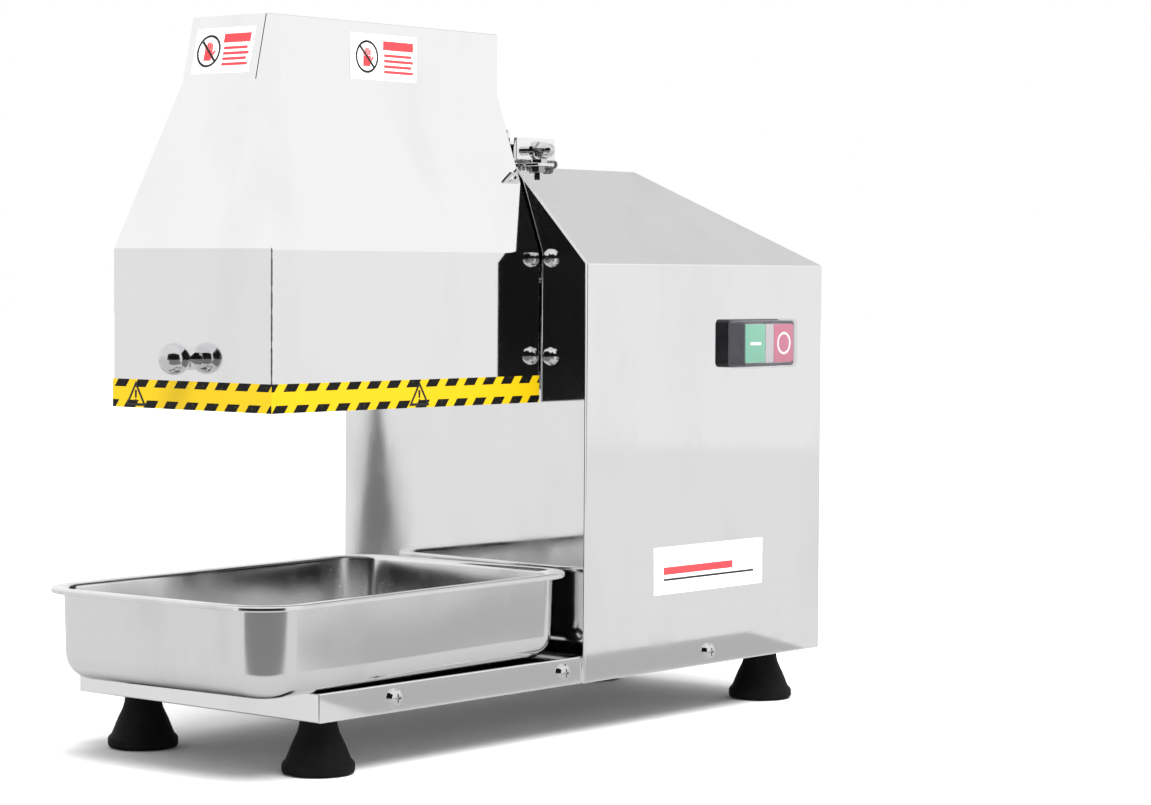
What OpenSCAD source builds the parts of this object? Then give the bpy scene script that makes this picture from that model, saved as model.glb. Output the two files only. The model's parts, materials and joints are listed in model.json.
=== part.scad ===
// Countertop meat tenderizer: a geared motor in a polished steel housing drives two
// interleaved blade rollers under a hinged safety hood, above a loose tray.
// All places are given from the front-left corner of the base, at floor level:
// X runs towards the motor, Y towards the back, Z up. at_base() moves them so that
// the origin lies on the floor under the middle of the whole machine.

/* [Base] */
// Length of the base, left to right
base_l = 500; // [480:1:620]
// Depth of the base, front to back
base_w = 210; // [190:1:260]
// Thickness of the deck sheet
deck_t = 2; // [1.5:0.1:3]
// Height of the folded-down flange
flange_h = 17.5; // [14:0.5:30]
// Height of the rubber feet
foot_h = 35; // [25:1:50]
// Radius of a foot at the floor
foot_r = 22; // [16:0.5:24]
// Radius of a foot's neck
foot_neck_r = 11.5; // [9:0.5:14]
// Distance of the feet's centres from the base's edges
foot_inset = 28; // [25:1:40]

/* [Housing] */
// Length of the housing, from its end wall to the base's right edge
housing_l = 260; // [250:1:300]
// Thickness of the end wall
wall_t = 2; // [1.5:0.1:3]
// Thickness of the cover sheet
cover_t = 1.5; // [1:0.1:2.5]
// Height of the cover's upright sides above the flange's lower edge
eave_h = 270; // [265:1:330]
// Height of the cover's flat top above the flange's lower edge
roof_h = 333; // [330:1:400]
// How far the front and rear slopes run in
ridge_inset = 60; // [50:1:62]
// How far the right-hand slope runs in
hip_run = 135.6; // [100:1:150]

/* [Hood] */
// Height of the hood's lower edge above the flange's lower edge
hood_lift = 180; // [178:1:200]
// Depth of the hood's skirt, front to back
hood_w = 138; // [136:1:170]
// Height of the upright skirt
skirt_h = 97; // [90:1:120]
// Height of the sloping part
slope_h = 102; // [80:1:130]
// Height of the feed chute's upright part
chute_h = 40; // [25:1:70]
// Depth of the feed chute, front to back
chute_w = 64; // [50:1:80]
// How far the left panel leans in at the top
hood_lean = 31.7; // [15:1:50]
// How far the hood reaches past the base's left edge
hood_reach = 3.7; // [0:0.1:10]
// Thickness of the hood sheet
hood_t = 1.5; // [1:0.1:2]
// Gap between the hood and the end wall
hood_gap = 1.5; // [1:0.1:4]
// Radius of the ball knob
knob_r = 9.75; // [7:0.25:14]
// Distance of the ball's centre from the panel
knob_stand = 15; // [13:0.5:22]
// Height of the warning tape
tape_h = 17.4; // [12:0.1:25]

/* [Hinge] */
// Length of the hinge bracket, left to right
bracket_l = 39; // [34:1:39]
// Height of the bracket's ears
ear_h = 17; // [15:1:19]
// Height of the hinge axis above the roof
pivot_h = 11; // [10:0.5:12]
// Radius of the hinge pin
pin_r = 3; // [2.5:0.1:4]

/* [Tray] */
// Length of the tray over its rim
tray_l = 298; // [240:1:300]
// Width of the tray over its rim
tray_w = 197; // [150:1:240]
// Height of the tray
tray_h = 56; // [30:1:90]
// Width of the tray's flat rim
tray_rim = 9; // [5:0.5:14]
// Radius of the rim's corners
tray_corner_r = 34; // [30:1:45]
// Radius between the tray's walls and its floor
tray_floor_r = 16; // [8:0.5:18]
// Thickness of the tray sheet
tray_t = 1.2; // [0.8:0.1:2]
// Turn of the loose tray on the deck in degrees
tray_yaw = 2.5; // [0:0.5:4]

/* [Switch] */
// Width of the switch
switch_w = 60; // [54:0.5:74]
// Height of the switch
switch_h = 33.5; // [31:0.5:42]
// How far the switch stands out of the cover
switch_out = 26; // [24:0.5:34]
// Travel of a button
button_travel = 3; // [2:0.5:3.5]

/* [Rollers] */
// Distance between the two roller axes
roller_gap = 50; // [48:1:54]
// Radius of a blade disc at its tips
blade_r = 29; // [27:0.5:30]
// Thickness of a blade disc
blade_t = 1.6; // [1:0.1:2.4]
// Distance between two discs of one roller
blade_pitch = 9.4; // [8:0.1:14]
// Teeth on a blade disc
blade_teeth = 16; // [12:1:24]
// Running clearance of a shaft in its bore
run_gap = 0.05; // [0.02:0.01:0.1]

/* [Gear train] */
// Teeth of the motor pinion and of the layshaft pinion
pinion_teeth = 18; // [18:1:20]
// Teeth of the two large gears
wheel_teeth = 60; // [58:1:64]
// Module of the first stage
module_1 = 1.5; // [1.4:0.1:1.5]
// Module of the second stage
module_2 = 2; // [1.9:0.1:2]

/* [Motor] */
// Radius of the motor shell
motor_r = 62; // [55:1:64]
// Length of the motor shell
motor_l = 130; // [110:1:134]

/* [Hidden] */
$fn = 64;
eps = 0.1;                     // how far a cutting tool runs past a face
clear = 0.2;                   // gap round a fastener in its hole
m5_r = 2.5;
m6_r = 3;
m8_r = 4;
m12_r = 6;
steel = [0.78, 0.79, 0.8];
bright = [0.88, 0.89, 0.9];
iron = [0.45, 0.46, 0.48];
alloy = [0.66, 0.67, 0.69];
black = [0.05, 0.05, 0.06];

// heights
z_flange = foot_h;
z_deck = z_flange + flange_h;
z_eave = z_flange + eave_h;
z_roof = z_flange + roof_h;
z_hood = z_flange + hood_lift;
z_skirt = z_hood + skirt_h;
z_slope = z_skirt + slope_h;
z_top = z_slope + chute_h;
slope_a = atan((roof_h - eave_h) / ridge_inset);
hip_a = atan((roof_h - eave_h) / hip_run);

// plan
wall_x = base_l - housing_l;
y_mid = base_w / 2;
cover_x1 = base_l + cover_t;
cover_y0 = -cover_t;
cover_y1 = base_w + cover_t;
hood_x0 = -hood_reach;
hood_x1 = wall_x - hood_gap;
hood_y0 = y_mid - hood_w / 2;
hood_y1 = y_mid + hood_w / 2;

// blade cassette
roller_y = y_mid - roller_gap / 2;
rear_y = y_mid + roller_gap / 2;
roller_lift = 47;              // roller axes above the hood's lower edge
z_roller = z_hood + roller_lift;
plate_t = 5;
plate_half = hood_w / 2 - 4;   // half of a side plate's depth
plate_drop = 36;               // side plates below and above the roller axes
plate_rise = 40;
plate_xl = 14;                 // outer face of the left side plate
plate_xr = wall_x - 24;        // inner face of the right side plate
plate_z0 = z_roller - plate_drop;
plate_z1 = z_roller + plate_rise;
journal_r = 8;
bush_r = 12;
hub_r = 13;
collar_l = 2.5;
end_play = 0.5;                // between a roller and a side plate
stack_x = plate_xl + plate_t + end_play + collar_l;
stack_l = plate_xr - end_play - collar_l - stack_x;
blades = floor((stack_l - blade_pitch / 2) / blade_pitch);
hex_r = 9;
stud_y = plate_half - 10;      // studs from the machine's middle
stud_rise = 28;
z_stud = z_roller + stud_rise;
tie_r = 9;
comb_y = y_mid - plate_half + 6;   // outer face of the front comb's bar
comb_bar = 9;
comb_h = 12;
comb_drop = 30;
comb_z = z_roller - comb_drop;
nip = 7;                       // combs' fingers from the machine's middle

// gear train, on the straight line from the motor up to the front roller
centre_1 = module_1 * (pinion_teeth + wheel_teeth) / 2;
centre_2 = module_2 * (pinion_teeth + wheel_teeth) / 2;
train = centre_1 + centre_2;
motor_y = y_mid;
z_motor = z_roller - sqrt(train * train - pow(motor_y - roller_y, 2));
lay_y = motor_y + (roller_y - motor_y) * centre_1 / train;
z_lay = z_motor + (z_roller - z_motor) * centre_1 / train;
train_a = atan2(z_roller - z_motor, roller_y - motor_y);
roller_teeth = 20;
roller_module = roller_gap / roller_teeth;
wheel_1_r = module_1 * (wheel_teeth + 2) / 2;
wheel_2_r = module_2 * (wheel_teeth + 2) / 2;
case_gap = 3;
case_wall = 5;
lobe_2 = wheel_2_r + case_gap + case_wall;
lobe_1 = wheel_1_r + case_gap + case_wall;
lobe_0 = 24;
flange_t = 10;
gear_w = 12;
bearing_w = 12;
gear_gap = 4;                  // between two gears, or a gear and a bearing
case_x0 = wall_x + wall_t;
stage_2 = case_x0 + flange_t + bearing_w + gear_gap;   // left face of the second stage's gears
stage_1 = stage_2 + gear_w + gear_gap;                 // left face of the first stage's gears
case_x1 = stage_1 + gear_w + gear_gap;
lid_t = 12;
lid_x1 = case_x1 + lid_t;
out_r = 10;
lay_r = 8;
motor_shaft_r = 8;
ear_r = 7;                     // ears round the lid's screws
bolt_y = hood_w / 2 + 8.6;     // wall bolts from the machine's middle
bolt_z0 = z_flange + eave_h - 60;
bolt_z1 = z_flange + eave_h + 3.4;

// motor
motor_x1 = lid_x1 + motor_l;
bell_t = 10;
stator_x0 = lid_x1 + 15;
stator_l = motor_l - 30;
rotor_r = 34.5;
fan_x = motor_x1 + bell_t + 6;
fan_l = 14;
fan_cover_l = 32;

// hinge
pivot_x = wall_x + 23;
z_pivot = z_roof + pivot_h;
bracket_x = wall_x + 3;
bracket_t = 2;
ear_t = 3;
ear_y0 = ridge_inset;
ear_y1 = base_w - ridge_inset;
arm_half = chute_w / 2 + 9;    // half of the hinge arm's width on the hood
nut_r = 5.8;
tab_x = wall_x;
tab_y = ear_y0 - 21;
tab_l = 13;
rest_x = wall_x + 6;
rest_y = ear_y0 - 16;

// switch, on the cover's front
switch_x = base_l - 93;
z_switch = z_flange + 217;
cap_l = 14.6;                  // depth of the clear cap over the switch's front
cap_t = 1.5;
bezel = 1;                     // body round the button faces, inside the cap
button_h = 26;
button_l = 10;
button_gap = 0.4;
lens_w = 9.2;
button_w = (switch_w - 2 * cap_t - 2 * bezel - lens_w - 4 * button_gap) / 2;
face_x0 = switch_x - switch_w / 2 + cap_t + bezel + button_gap;
switch_y0 = cover_y0 - switch_out;
cap_y = switch_y0 + cap_l;
nose_y = switch_y0 + cap_t + 1;
face_y = nose_y - 0.6;
pocket_y = face_y + button_l + button_travel + 0.5;
block_inset = 4.5;             // contact blocks inside the cover, from the switch's outline
block_l = 40;

// marks
label_t = 0.4;
plate_w = 120;
plate_h = 31.5;
name_x = base_l - 187.5;
z_name = z_flange + 51;

// tray
tray_x = wall_x - 156;
tray_y = y_mid - 19;

// cable gland, low on the cover's rear
gland_x = base_l - 45;
z_gland = z_flange + 45;
gland_r = 4;
gland_out = 22;

// whole machine, for the frame's origin
tray_x0 = tray_x - (tray_l / 2 - tray_corner_r) * cos(tray_yaw)
        - (tray_w / 2 - tray_corner_r) * sin(tray_yaw) - tray_corner_r;
tray_y0 = tray_y - (tray_w / 2 - tray_corner_r) * cos(tray_yaw)
        - (tray_l / 2 - tray_corner_r) * sin(tray_yaw) - tray_corner_r;
knob_x0 = hood_x0 - knob_stand - knob_r;
x_mid = (min(tray_x0, knob_x0) + cover_x1) / 2;
y_low = min(tray_y0, cover_y0 - switch_out);
y_high = cover_y1 + gland_out;
y_centre = (y_low + y_high) / 2;

// ---------- helpers ----------

module at_base() translate([-x_mid, -y_centre, 0]) children();

module block(low, high) translate(low) cube(high - low);

module rod_x(x0, x1, r, y, z) translate([x0, y, z]) rotate([0, 90, 0]) cylinder(h = x1 - x0, r = r);

module rod_y(y0, y1, r, x, z) translate([x, y0, z]) rotate([-90, 0, 0]) cylinder(h = y1 - y0, r = r);

module rod_z(z0, z1, r, x, y) translate([x, y, z0]) cylinder(h = z1 - z0, r = r);

module hex_x(x0, x1, r, y, z) translate([x0, y, z]) rotate([0, 90, 0]) cylinder(h = x1 - x0, r = r, $fn = 6);

// An outline drawn with X = machine Y and Y = machine Z, run along X
module along_x(x0, x1) translate([x0, 0, 0]) rotate([90, 0, 90]) linear_extrude(x1 - x0) children();

// An outline drawn with X = machine X and Y = machine Z, run along Y
module along_y(y0, y1) translate([0, y1, 0]) rotate([90, 0, 0]) linear_extrude(y1 - y0) children();

// An outline given in the plane of a shaft, round the shaft's centre, run along X
module on_shaft(x0, x1, y, z, turn = 0)
    translate([x0, y, z]) rotate([90, 0, 90]) rotate(turn) linear_extrude(x1 - x0) children();

function mirror_y(y) = 2 * y_mid - y;

// ---------- gears ----------

pressure_a = 20;
addendum = 0.92;
dedendum = 1.25;
backlash = 0.14;

function involute_a(c) = let(a = acos(c)) tan(a) * 180 / PI - a;

// Half of a tooth's angle at radius r, for a gear of pitch radius rp with n teeth
function half_tooth(r, rp, n) =
    90 / n - backlash / 2 / rp * 180 / PI + involute_a(cos(pressure_a))
    - involute_a(min(1, rp * cos(pressure_a) / r));

function at_angle(r, a) = [r * cos(a), r * sin(a)];

function gear_radii(m, n) =
    let(rp = m * n / 2, base = rp * cos(pressure_a), root = rp - dedendum * m)
    [root, max(base, root + 0.1), rp, rp + addendum * m];

function gear_points(m, n) =
    let(radii = gear_radii(m, n), rp = m * n / 2)
    [for (i = [0 : n - 1]) each concat(
        [for (r = radii) at_angle(r, 360 / n * i - half_tooth(r, rp, n))],
        [for (k = [3 : -1 : 0]) at_angle(radii[k], 360 / n * i + half_tooth(radii[k], rp, n))])];

module gear_outline(m, n) polygon(gear_points(m, n));

module gear(x0, m, n, y, z, turn, bore) difference() {
    on_shaft(x0, x0 + gear_w, y, z, turn) gear_outline(m, n);
    rod_x(x0 - eps, x0 + gear_w + eps, bore, y, z);
}

// ---------- base ----------

module base_plate() at_base() color(steel) difference() {
    block([0, 0, z_flange], [base_l, base_w, z_deck]);
    block([deck_t, deck_t, z_flange - eps], [base_l - deck_t, base_w - deck_t, z_deck - deck_t]);
    for (x = screw_places()) {
        rod_y(-eps, deck_t + eps, m6_r + clear, x, z_screw);
        rod_y(base_w - deck_t - eps, base_w + eps, m6_r + clear, x, z_screw);
    }
}

function foot_places() =
    [for (x = [foot_inset, base_l - foot_inset], y = [foot_inset, base_w - foot_inset]) [x, y]];

cover_screw_x = base_l - 128;

function screw_places() = [64, wall_x - 19, cover_screw_x];

z_screw = z_flange + flange_h / 2;
channel_w = 36;

module base_channels() at_base() color(steel)
    for (x = [foot_inset, base_l - foot_inset]) difference() {
        block([x - channel_w / 2, deck_t, z_flange], [x + channel_w / 2, base_w - deck_t, z_deck - deck_t]);
        block([x - channel_w / 2 + deck_t, 0, z_flange + deck_t],
            [x + channel_w / 2 - deck_t, base_w, z_deck - deck_t + eps]);
        for (y = [foot_inset, base_w - foot_inset])
            rod_z(z_flange - eps, z_flange + deck_t + eps, m8_r + clear, x, y);
    }

module rubber_feet() at_base() color(black)
    for (p = foot_places()) translate([p[0], p[1], 0]) rotate_extrude() polygon([
        [m8_r + 6, 0], [foot_r - 2, 0], [foot_r, 2.5], [foot_r, 6], [foot_neck_r, foot_h * 0.8],
        [foot_neck_r, foot_h], [m8_r + clear, foot_h], [m8_r + clear, 12], [m8_r + 6, 12]]);

module foot_bolts() at_base() color(bright) for (p = foot_places()) {
    rod_z(8, 12, m8_r + 3.2, p[0], p[1]);
    rod_z(12, z_flange + 8, m8_r, p[0], p[1]);
    translate([p[0], p[1], z_flange + deck_t]) difference() {
        cylinder(h = 6.5, r = 7.4, $fn = 6);
        translate([0, 0, -eps]) cylinder(h = 7, r = m8_r);
    }
}

// A pan-head screw through a sheet that faces the front, its slots cut as a cross
module pan_screw(x, y, z, head_r, shank_l) translate([x, y, z]) rotate([90, 0, 0]) difference() {
    union() {
        rotate_extrude() polygon([
            [0, 0], [head_r, 0], [head_r, 1.2], [head_r * 0.8, 2.6], [head_r * 0.4, 3.3], [0, 3.5]]);
        translate([0, 0, -shank_l]) cylinder(h = shank_l + eps, r = m6_r);
    }
    for (a = [0, 90]) rotate(a) translate([-head_r * 0.5, -0.6, 2]) cube([head_r, 1.2, 3]);
}

module flange_screws() at_base() color(bright)
    for (k = [0, 1], x = screw_places())
        translate([0, k * base_w, 0]) mirror([0, k, 0])
            pan_screw(x, x > wall_x ? -cover_t : 0, z_screw, 5.7, 9);

// ---------- housing ----------

// Front-to-back outline of the cover, drawn inwards by t along each face's normal
function cover_side(t) =
    let(fold = t * tan(slope_a / 2), y0 = cover_y0 + t, y1 = cover_y1 - t,
        in = ridge_inset - cover_y0 + t * tan(slope_a / 2))
    [[y0, z_flange - (t > 0 ? eps : 0)], [y1, z_flange - (t > 0 ? eps : 0)], [y1, z_eave - fold],
     [cover_y1 - in, z_roof - t], [cover_y0 + in, z_roof - t], [y0, z_eave - fold]];

// Left-to-right outline of the cover
function cover_front(t) =
    let(fold = t * tan(hip_a / 2), x0 = case_x0 - (t > 0 ? eps : 0), x1 = cover_x1 - t)
    [[x0, z_flange - (t > 0 ? eps : 0)], [x1, z_flange - (t > 0 ? eps : 0)], [x1, z_eave - fold],
     [cover_x1 - hip_run - fold, z_roof - t], [x0, z_roof - t]];

module cover_solid(t) intersection() {
    along_x(wall_x, base_l + 10) polygon(cover_side(t));
    along_y(-10, base_w + 10) polygon(cover_front(t));
}

vents = 8;
vent_w = 4;
vent_l = 46;
vent_x = wall_x + 75;
z_vent = z_flange + 150;

module motor_cover() at_base() color(steel) difference() {
    cover_solid(0);
    cover_solid(cover_t);
    switch_box(block_inset - clear, cover_y0 - eps, cover_y0 + cover_t + eps);
    rod_y(cover_y0 - eps, cover_y0 + cover_t + eps, m6_r + clear, cover_screw_x, z_screw);
    rod_y(cover_y1 - cover_t - eps, cover_y1 + eps, m6_r + clear, cover_screw_x, z_screw);
    rod_y(cover_y1 - cover_t - eps, cover_y1 + eps, gland_thread_r + clear, gland_x, z_gland);
    for (k = [0 : vents - 1]) translate([vent_x + k * 3 * vent_w, 0, z_vent])
        block([0, cover_y1 - cover_t - eps, 0], [vent_w, cover_y1 + eps, vent_l]);
}

module end_wall() at_base() color(bright) difference() {
    along_x(wall_x, wall_x + wall_t) polygon(cover_side(0));
    rod_x(wall_x - eps, wall_x + wall_t + eps, coupling_r + 2, roller_y, z_roller);
    for (s = [-1, 1]) {
        rod_x(wall_x - eps, wall_x + wall_t + eps, m12_r + clear, y_mid + s * stud_y, z_stud);
        for (z = [bolt_z0, bolt_z1])
            rod_x(wall_x - eps, wall_x + wall_t + eps, m6_r + clear, y_mid + s * bolt_y, z);
    }
    block([wall_x - eps, 0, z_flange - eps], [wall_x + wall_t + eps, base_w, z_deck]);
}

module wall_bolts() at_base() color(bright) for (s = [-1, 1], z = [bolt_z0, bolt_z1])
    translate([wall_x, y_mid + s * bolt_y, z]) rotate([0, -90, 0]) {
        rotate_extrude() polygon([[0, 0], [5.9, 0], [5.9, 1], [5, 2.6], [3.4, 3.7], [1.6, 4.2], [0, 4.3]]);
        translate([0, 0, -wall_t - 8]) cylinder(h = wall_t + 8 + eps, r = m6_r);
    }

// ---------- switch ----------

// The switch's outline, drawn in by t, between two depths
module switch_box(t, y0, y1)
    block([switch_x - switch_w / 2 + t, y0, z_switch - switch_h / 2 + t],
        [switch_x + switch_w / 2 - t, y1, z_switch + switch_h / 2 - t]);

module switch_body() at_base() color(black) difference() {
    union() {
        switch_box(cap_t, nose_y, cover_y0);
        switch_box(0.6, cap_y, cover_y0);
        switch_box(block_inset, cover_y0 - eps, cover_y0 + block_l);
    }
    block([face_x0 - button_gap, nose_y - eps, z_switch - button_h / 2 - button_gap],
        [face_x0 + 2 * button_w + lens_w + 3 * button_gap, pocket_y, z_switch + button_h / 2 + button_gap]);
}

module switch_boot() at_base() color([0.85, 0.9, 0.9, 0.4]) difference() {
    switch_box(0, switch_y0, cap_y);
    switch_box(cap_t, switch_y0 + cap_t, cap_y + eps);
}

// A push face, or the lens between the two, from its front face back
module face(x0, w, depth, shade) color(shade)
    block([x0, face_y, z_switch - button_h / 2], [x0 + w, face_y + depth, z_switch + button_h / 2]);

module start_button() at_base() face(face_x0, button_w, button_l, [0.1, 0.6, 0.35]);

module stop_button() at_base()
    face(face_x0 + button_w + lens_w + 2 * button_gap, button_w, button_l, [0.8, 0.1, 0.15]);

module indicator_lens() at_base()
    face(face_x0 + button_w + button_gap, lens_w, pocket_y - face_y, [0.8, 0.85, 0.85]);

module name_plate() at_base() color("white")
    block([name_x, cover_y0 - label_t, z_name], [name_x + plate_w, cover_y0, z_name + plate_h]);

gland_thread_r = 8;

module cable_gland() at_base() color(black)
translate([gland_x, cover_y1, z_gland]) rotate([-90, 0, 0]) difference() {
    union() {
        cylinder(h = 6, r = 12.5, $fn = 6);
        translate([0, 0, 6]) cylinder(h = gland_out - 6, r = 10);
        translate([0, 0, -10]) cylinder(h = 10 + eps, r = gland_thread_r);
        translate([0, 0, -cover_t - 5]) cylinder(h = 5, r = 12, $fn = 6);
    }
    translate([0, 0, -11]) cylinder(h = gland_out + 12, r = gland_r);
}

// ---------- motor ----------

module motor_ring(x0, x1, r_out, r_in) difference() {
    rod_x(x0, x1, r_out, motor_y, z_motor);
    rod_x(x0 - eps, x1 + eps, r_in, motor_y, z_motor);
}

module motor_shell() at_base() color(alloy) motor_ring(lid_x1, motor_x1, motor_r, motor_r - 4);

module stator() at_base() color(iron) {
    motor_ring(stator_x0, stator_x0 + stator_l, motor_r - 4, rotor_r + 0.5);
    color([0.72, 0.4, 0.2]) for (x = [stator_x0 - 10, stator_x0 + stator_l])
        motor_ring(x, x + 10, motor_r - 9, rotor_r + 4);
}

module motor_end_bell() at_base() color(alloy) difference() {
    union() {
        rod_x(motor_x1, motor_x1 + bell_t, motor_r, motor_y, z_motor);
        rod_x(motor_x1 - 6, motor_x1 + eps, 20, motor_y, z_motor);
    }
    rod_x(motor_x1 - 6 - eps, motor_x1 - 6 + bearing_w, 16, motor_y, z_motor);
    rod_x(motor_x1 - 7, motor_x1 + bell_t + eps, motor_shaft_r + 1, motor_y, z_motor);
}

module fan_cover() at_base() color(black) difference() {
    rod_x(motor_x1 + bell_t, motor_x1 + bell_t + fan_cover_l, motor_r, motor_y, z_motor);
    rod_x(motor_x1 + bell_t - eps, motor_x1 + bell_t + fan_cover_l - 2, motor_r - 2, motor_y, z_motor);
    for (r = [22, 34, 46], a = [0 : 45 : 315])
        translate([motor_x1 + bell_t + fan_cover_l - 3, motor_y, z_motor]) rotate([a, 0, 0])
            translate([0, r, 0]) rotate([0, 90, 0]) cylinder(h = 4, r = 4);
}

module motor_foot() at_base() color(iron) difference() {
    block([lid_x1 + 25, y_mid - 45, z_deck], [motor_x1 - 25, y_mid + 45, z_motor - 20]);
    rod_x(lid_x1 + 20, motor_x1 - 20, motor_r, motor_y, z_motor);
}

can_r = 17;
can_y = y_mid + 83;

module run_capacitor() at_base() {
    color(alloy) rod_x(lid_x1 + 30, lid_x1 + 115, can_r, can_y, z_deck + can_r + 3);
    color(iron) difference() {
        block([lid_x1 + 60, can_y - can_r, z_deck], [lid_x1 + 80, can_y + can_r, z_deck + can_r]);
        rod_x(lid_x1 + 59, lid_x1 + 81, can_r, can_y, z_deck + can_r + 3);
    }
}

module rotor_core() at_base() color(iron)
    motor_ring(stator_x0, stator_x0 + stator_l, rotor_r, motor_shaft_r + 2);

module rotor_shaft() at_base() color(bright) {
    rod_x(stage_1 + gear_w, stator_x0, motor_shaft_r, motor_y, z_motor);
    rod_x(stator_x0, stator_x0 + stator_l, motor_shaft_r + 2, motor_y, z_motor);
    rod_x(stator_x0 + stator_l, fan_x + fan_l, motor_shaft_r, motor_y, z_motor);
    on_shaft(stage_1, stage_1 + gear_w, motor_y, z_motor, train_a) gear_outline(module_1, pinion_teeth);
}

module cooling_fan() at_base() color(black) difference() {
    union() {
        rod_x(fan_x, fan_x + fan_l, 16, motor_y, z_motor);
        for (a = [0 : 45 : 315]) translate([fan_x, motor_y, z_motor]) rotate([a, 0, 0])
            translate([0, 12, -1]) cube([fan_l, motor_r - 20, 2]);
    }
    rod_x(fan_x - eps, fan_x + fan_l + eps, motor_shaft_r, motor_y, z_motor);
}

// ---------- gearbox ----------

module lobes(x0, x1, shrink) {
    rod_x(x0, x1, lobe_2 - shrink, roller_y, z_roller);
    rod_x(x0, x1, lobe_1 - shrink, lay_y, z_lay);
    rod_x(x0, x1, lobe_0 - shrink, motor_y, z_motor);
}

// Places of the lid's screws round the case
function lid_places() = concat(
    [for (a = [35, 110, 205]) [roller_y + (lobe_2 + 3) * cos(a), z_roller + (lobe_2 + 3) * sin(a)]],
    [for (a = [15, 205]) [lay_y + (lobe_1 + 3) * cos(a), z_lay + (lobe_1 + 3) * sin(a)]]);

module gearbox_case() at_base() color(alloy) difference() {
    union() {
        lobes(case_x0, case_x1, 0);
        intersection() {
            block([case_x0, y_mid - bolt_y - 9, bolt_z0 - 10],
                [case_x0 + flange_t, y_mid + bolt_y + 9, bolt_z1 + 9]);
            along_x(case_x0 - 1, case_x0 + flange_t + 1) polygon(cover_side(cover_t + 1));
        }
        for (p = lid_places()) rod_x(case_x1 - 14, case_x1, ear_r, p[0], p[1]);
    }
    difference() {
        lobes(case_x0 + flange_t, case_x1 + eps, case_wall);
        rod_x(case_x0, case_x0 + flange_t + bearing_w, 26, roller_y, z_roller);
        rod_x(case_x0, case_x0 + flange_t + bearing_w, 21, lay_y, z_lay);
    }
    rod_x(case_x0 - eps, case_x0 + flange_t + eps, coupling_r + 2, roller_y, z_roller);
    rod_x(case_x0 + flange_t, case_x0 + flange_t + bearing_w + eps, 21, roller_y, z_roller);
    rod_x(case_x0 + flange_t, case_x0 + flange_t + bearing_w + eps, 16, lay_y, z_lay);
    for (s = [-1, 1]) {
        rod_x(case_x0 - eps, case_x0 + flange_t + eps, m12_r, y_mid + s * stud_y, z_stud);
        for (z = [bolt_z0, bolt_z1])
            rod_x(case_x0 - eps, case_x0 + flange_t + eps, m6_r, y_mid + s * bolt_y, z);
    }
    for (p = lid_places()) rod_x(case_x1 - 12, case_x1 + eps, m5_r, p[0], p[1]);
}

module gearbox_lid() at_base() color(alloy) difference() {
    union() {
        lobes(case_x1, lid_x1, 0);
        rod_x(case_x1, lid_x1, motor_r, motor_y, z_motor);
        for (p = lid_places()) rod_x(case_x1, lid_x1, ear_r, p[0], p[1]);
    }
    rod_x(case_x1 - eps, case_x1 + bearing_w - 2, 21, roller_y, z_roller);
    rod_x(case_x1 - eps, case_x1 + bearing_w - 2, 16, lay_y, z_lay);
    rod_x(case_x1 - eps, case_x1 + bearing_w - 2, 16, motor_y, z_motor);
    rod_x(case_x1 - eps, lid_x1 + eps, motor_shaft_r + 1, motor_y, z_motor);
    for (p = lid_places()) rod_x(case_x1 - eps, lid_x1 + eps, m5_r + clear, p[0], p[1]);
}

module gearbox_bolts() at_base() color(bright) for (p = lid_places()) {
    rod_x(lid_x1, lid_x1 + 5, 4.25, p[0], p[1]);
    rod_x(case_x1 - 10, lid_x1 + eps, m5_r, p[0], p[1]);
}

module bearing(x0, x1, r_out, shaft_r, y, z) difference() {
    rod_x(x0, x1, r_out, y, z);
    rod_x(x0 - eps, x1 + eps, shaft_r + run_gap, y, z);
}

module bearings() at_base() color(bright) {
    front = case_x0 + flange_t;
    bearing(front, front + bearing_w, 21, out_r, roller_y, z_roller);
    bearing(case_x1, case_x1 + bearing_w - 2, 21, out_r, roller_y, z_roller);
    bearing(front, front + bearing_w, 16, lay_r, lay_y, z_lay);
    bearing(case_x1, case_x1 + bearing_w - 2, 16, lay_r, lay_y, z_lay);
    bearing(case_x1, case_x1 + bearing_w - 2, 16, motor_shaft_r, motor_y, z_motor);
    bearing(motor_x1 - 6, motor_x1 - 6 + bearing_w, 16, motor_shaft_r, motor_y, z_motor);
}

module layshaft() at_base() color(bright) {
    rod_x(case_x0 + flange_t + 1, stage_2, lay_r, lay_y, z_lay);
    on_shaft(stage_2, stage_2 + gear_w, lay_y, z_lay, train_a) gear_outline(module_2, pinion_teeth);
    rod_x(stage_2 + gear_w, case_x1 + bearing_w - 3, lay_r, lay_y, z_lay);
}

module layshaft_gear() at_base() color(iron)
    gear(stage_1, module_1, wheel_teeth, lay_y, z_lay, train_a + 180 + 180 / wheel_teeth, lay_r);

module output_shaft() at_base() color(bright) {
    hex_x(wall_x + 2.5, case_x0 + flange_t, hex_drive_r, roller_y, z_roller);
    rod_x(case_x0 + flange_t, case_x1 + bearing_w - 3, out_r, roller_y, z_roller);
}

module output_gear() at_base() color(iron)
    gear(stage_2, module_2, wheel_teeth, roller_y, z_roller, train_a + 180 + 180 / wheel_teeth, out_r);

coupling_r = 14;
hex_drive_r = 7.5;

module drive_coupling() at_base() color(bright) difference() {
    rod_x(wall_x - 6, case_x0 + flange_t - 1, coupling_r, roller_y, z_roller);
    hex_x(wall_x - 7, case_x0 + flange_t + 1, hex_drive_r, roller_y, z_roller);
}

// ---------- blade cassette ----------

module cassette_studs() at_base() color(bright) for (s = [-1, 1])
    rod_x(3, case_x0 + flange_t, m12_r, y_mid + s * stud_y, z_stud);

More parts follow.
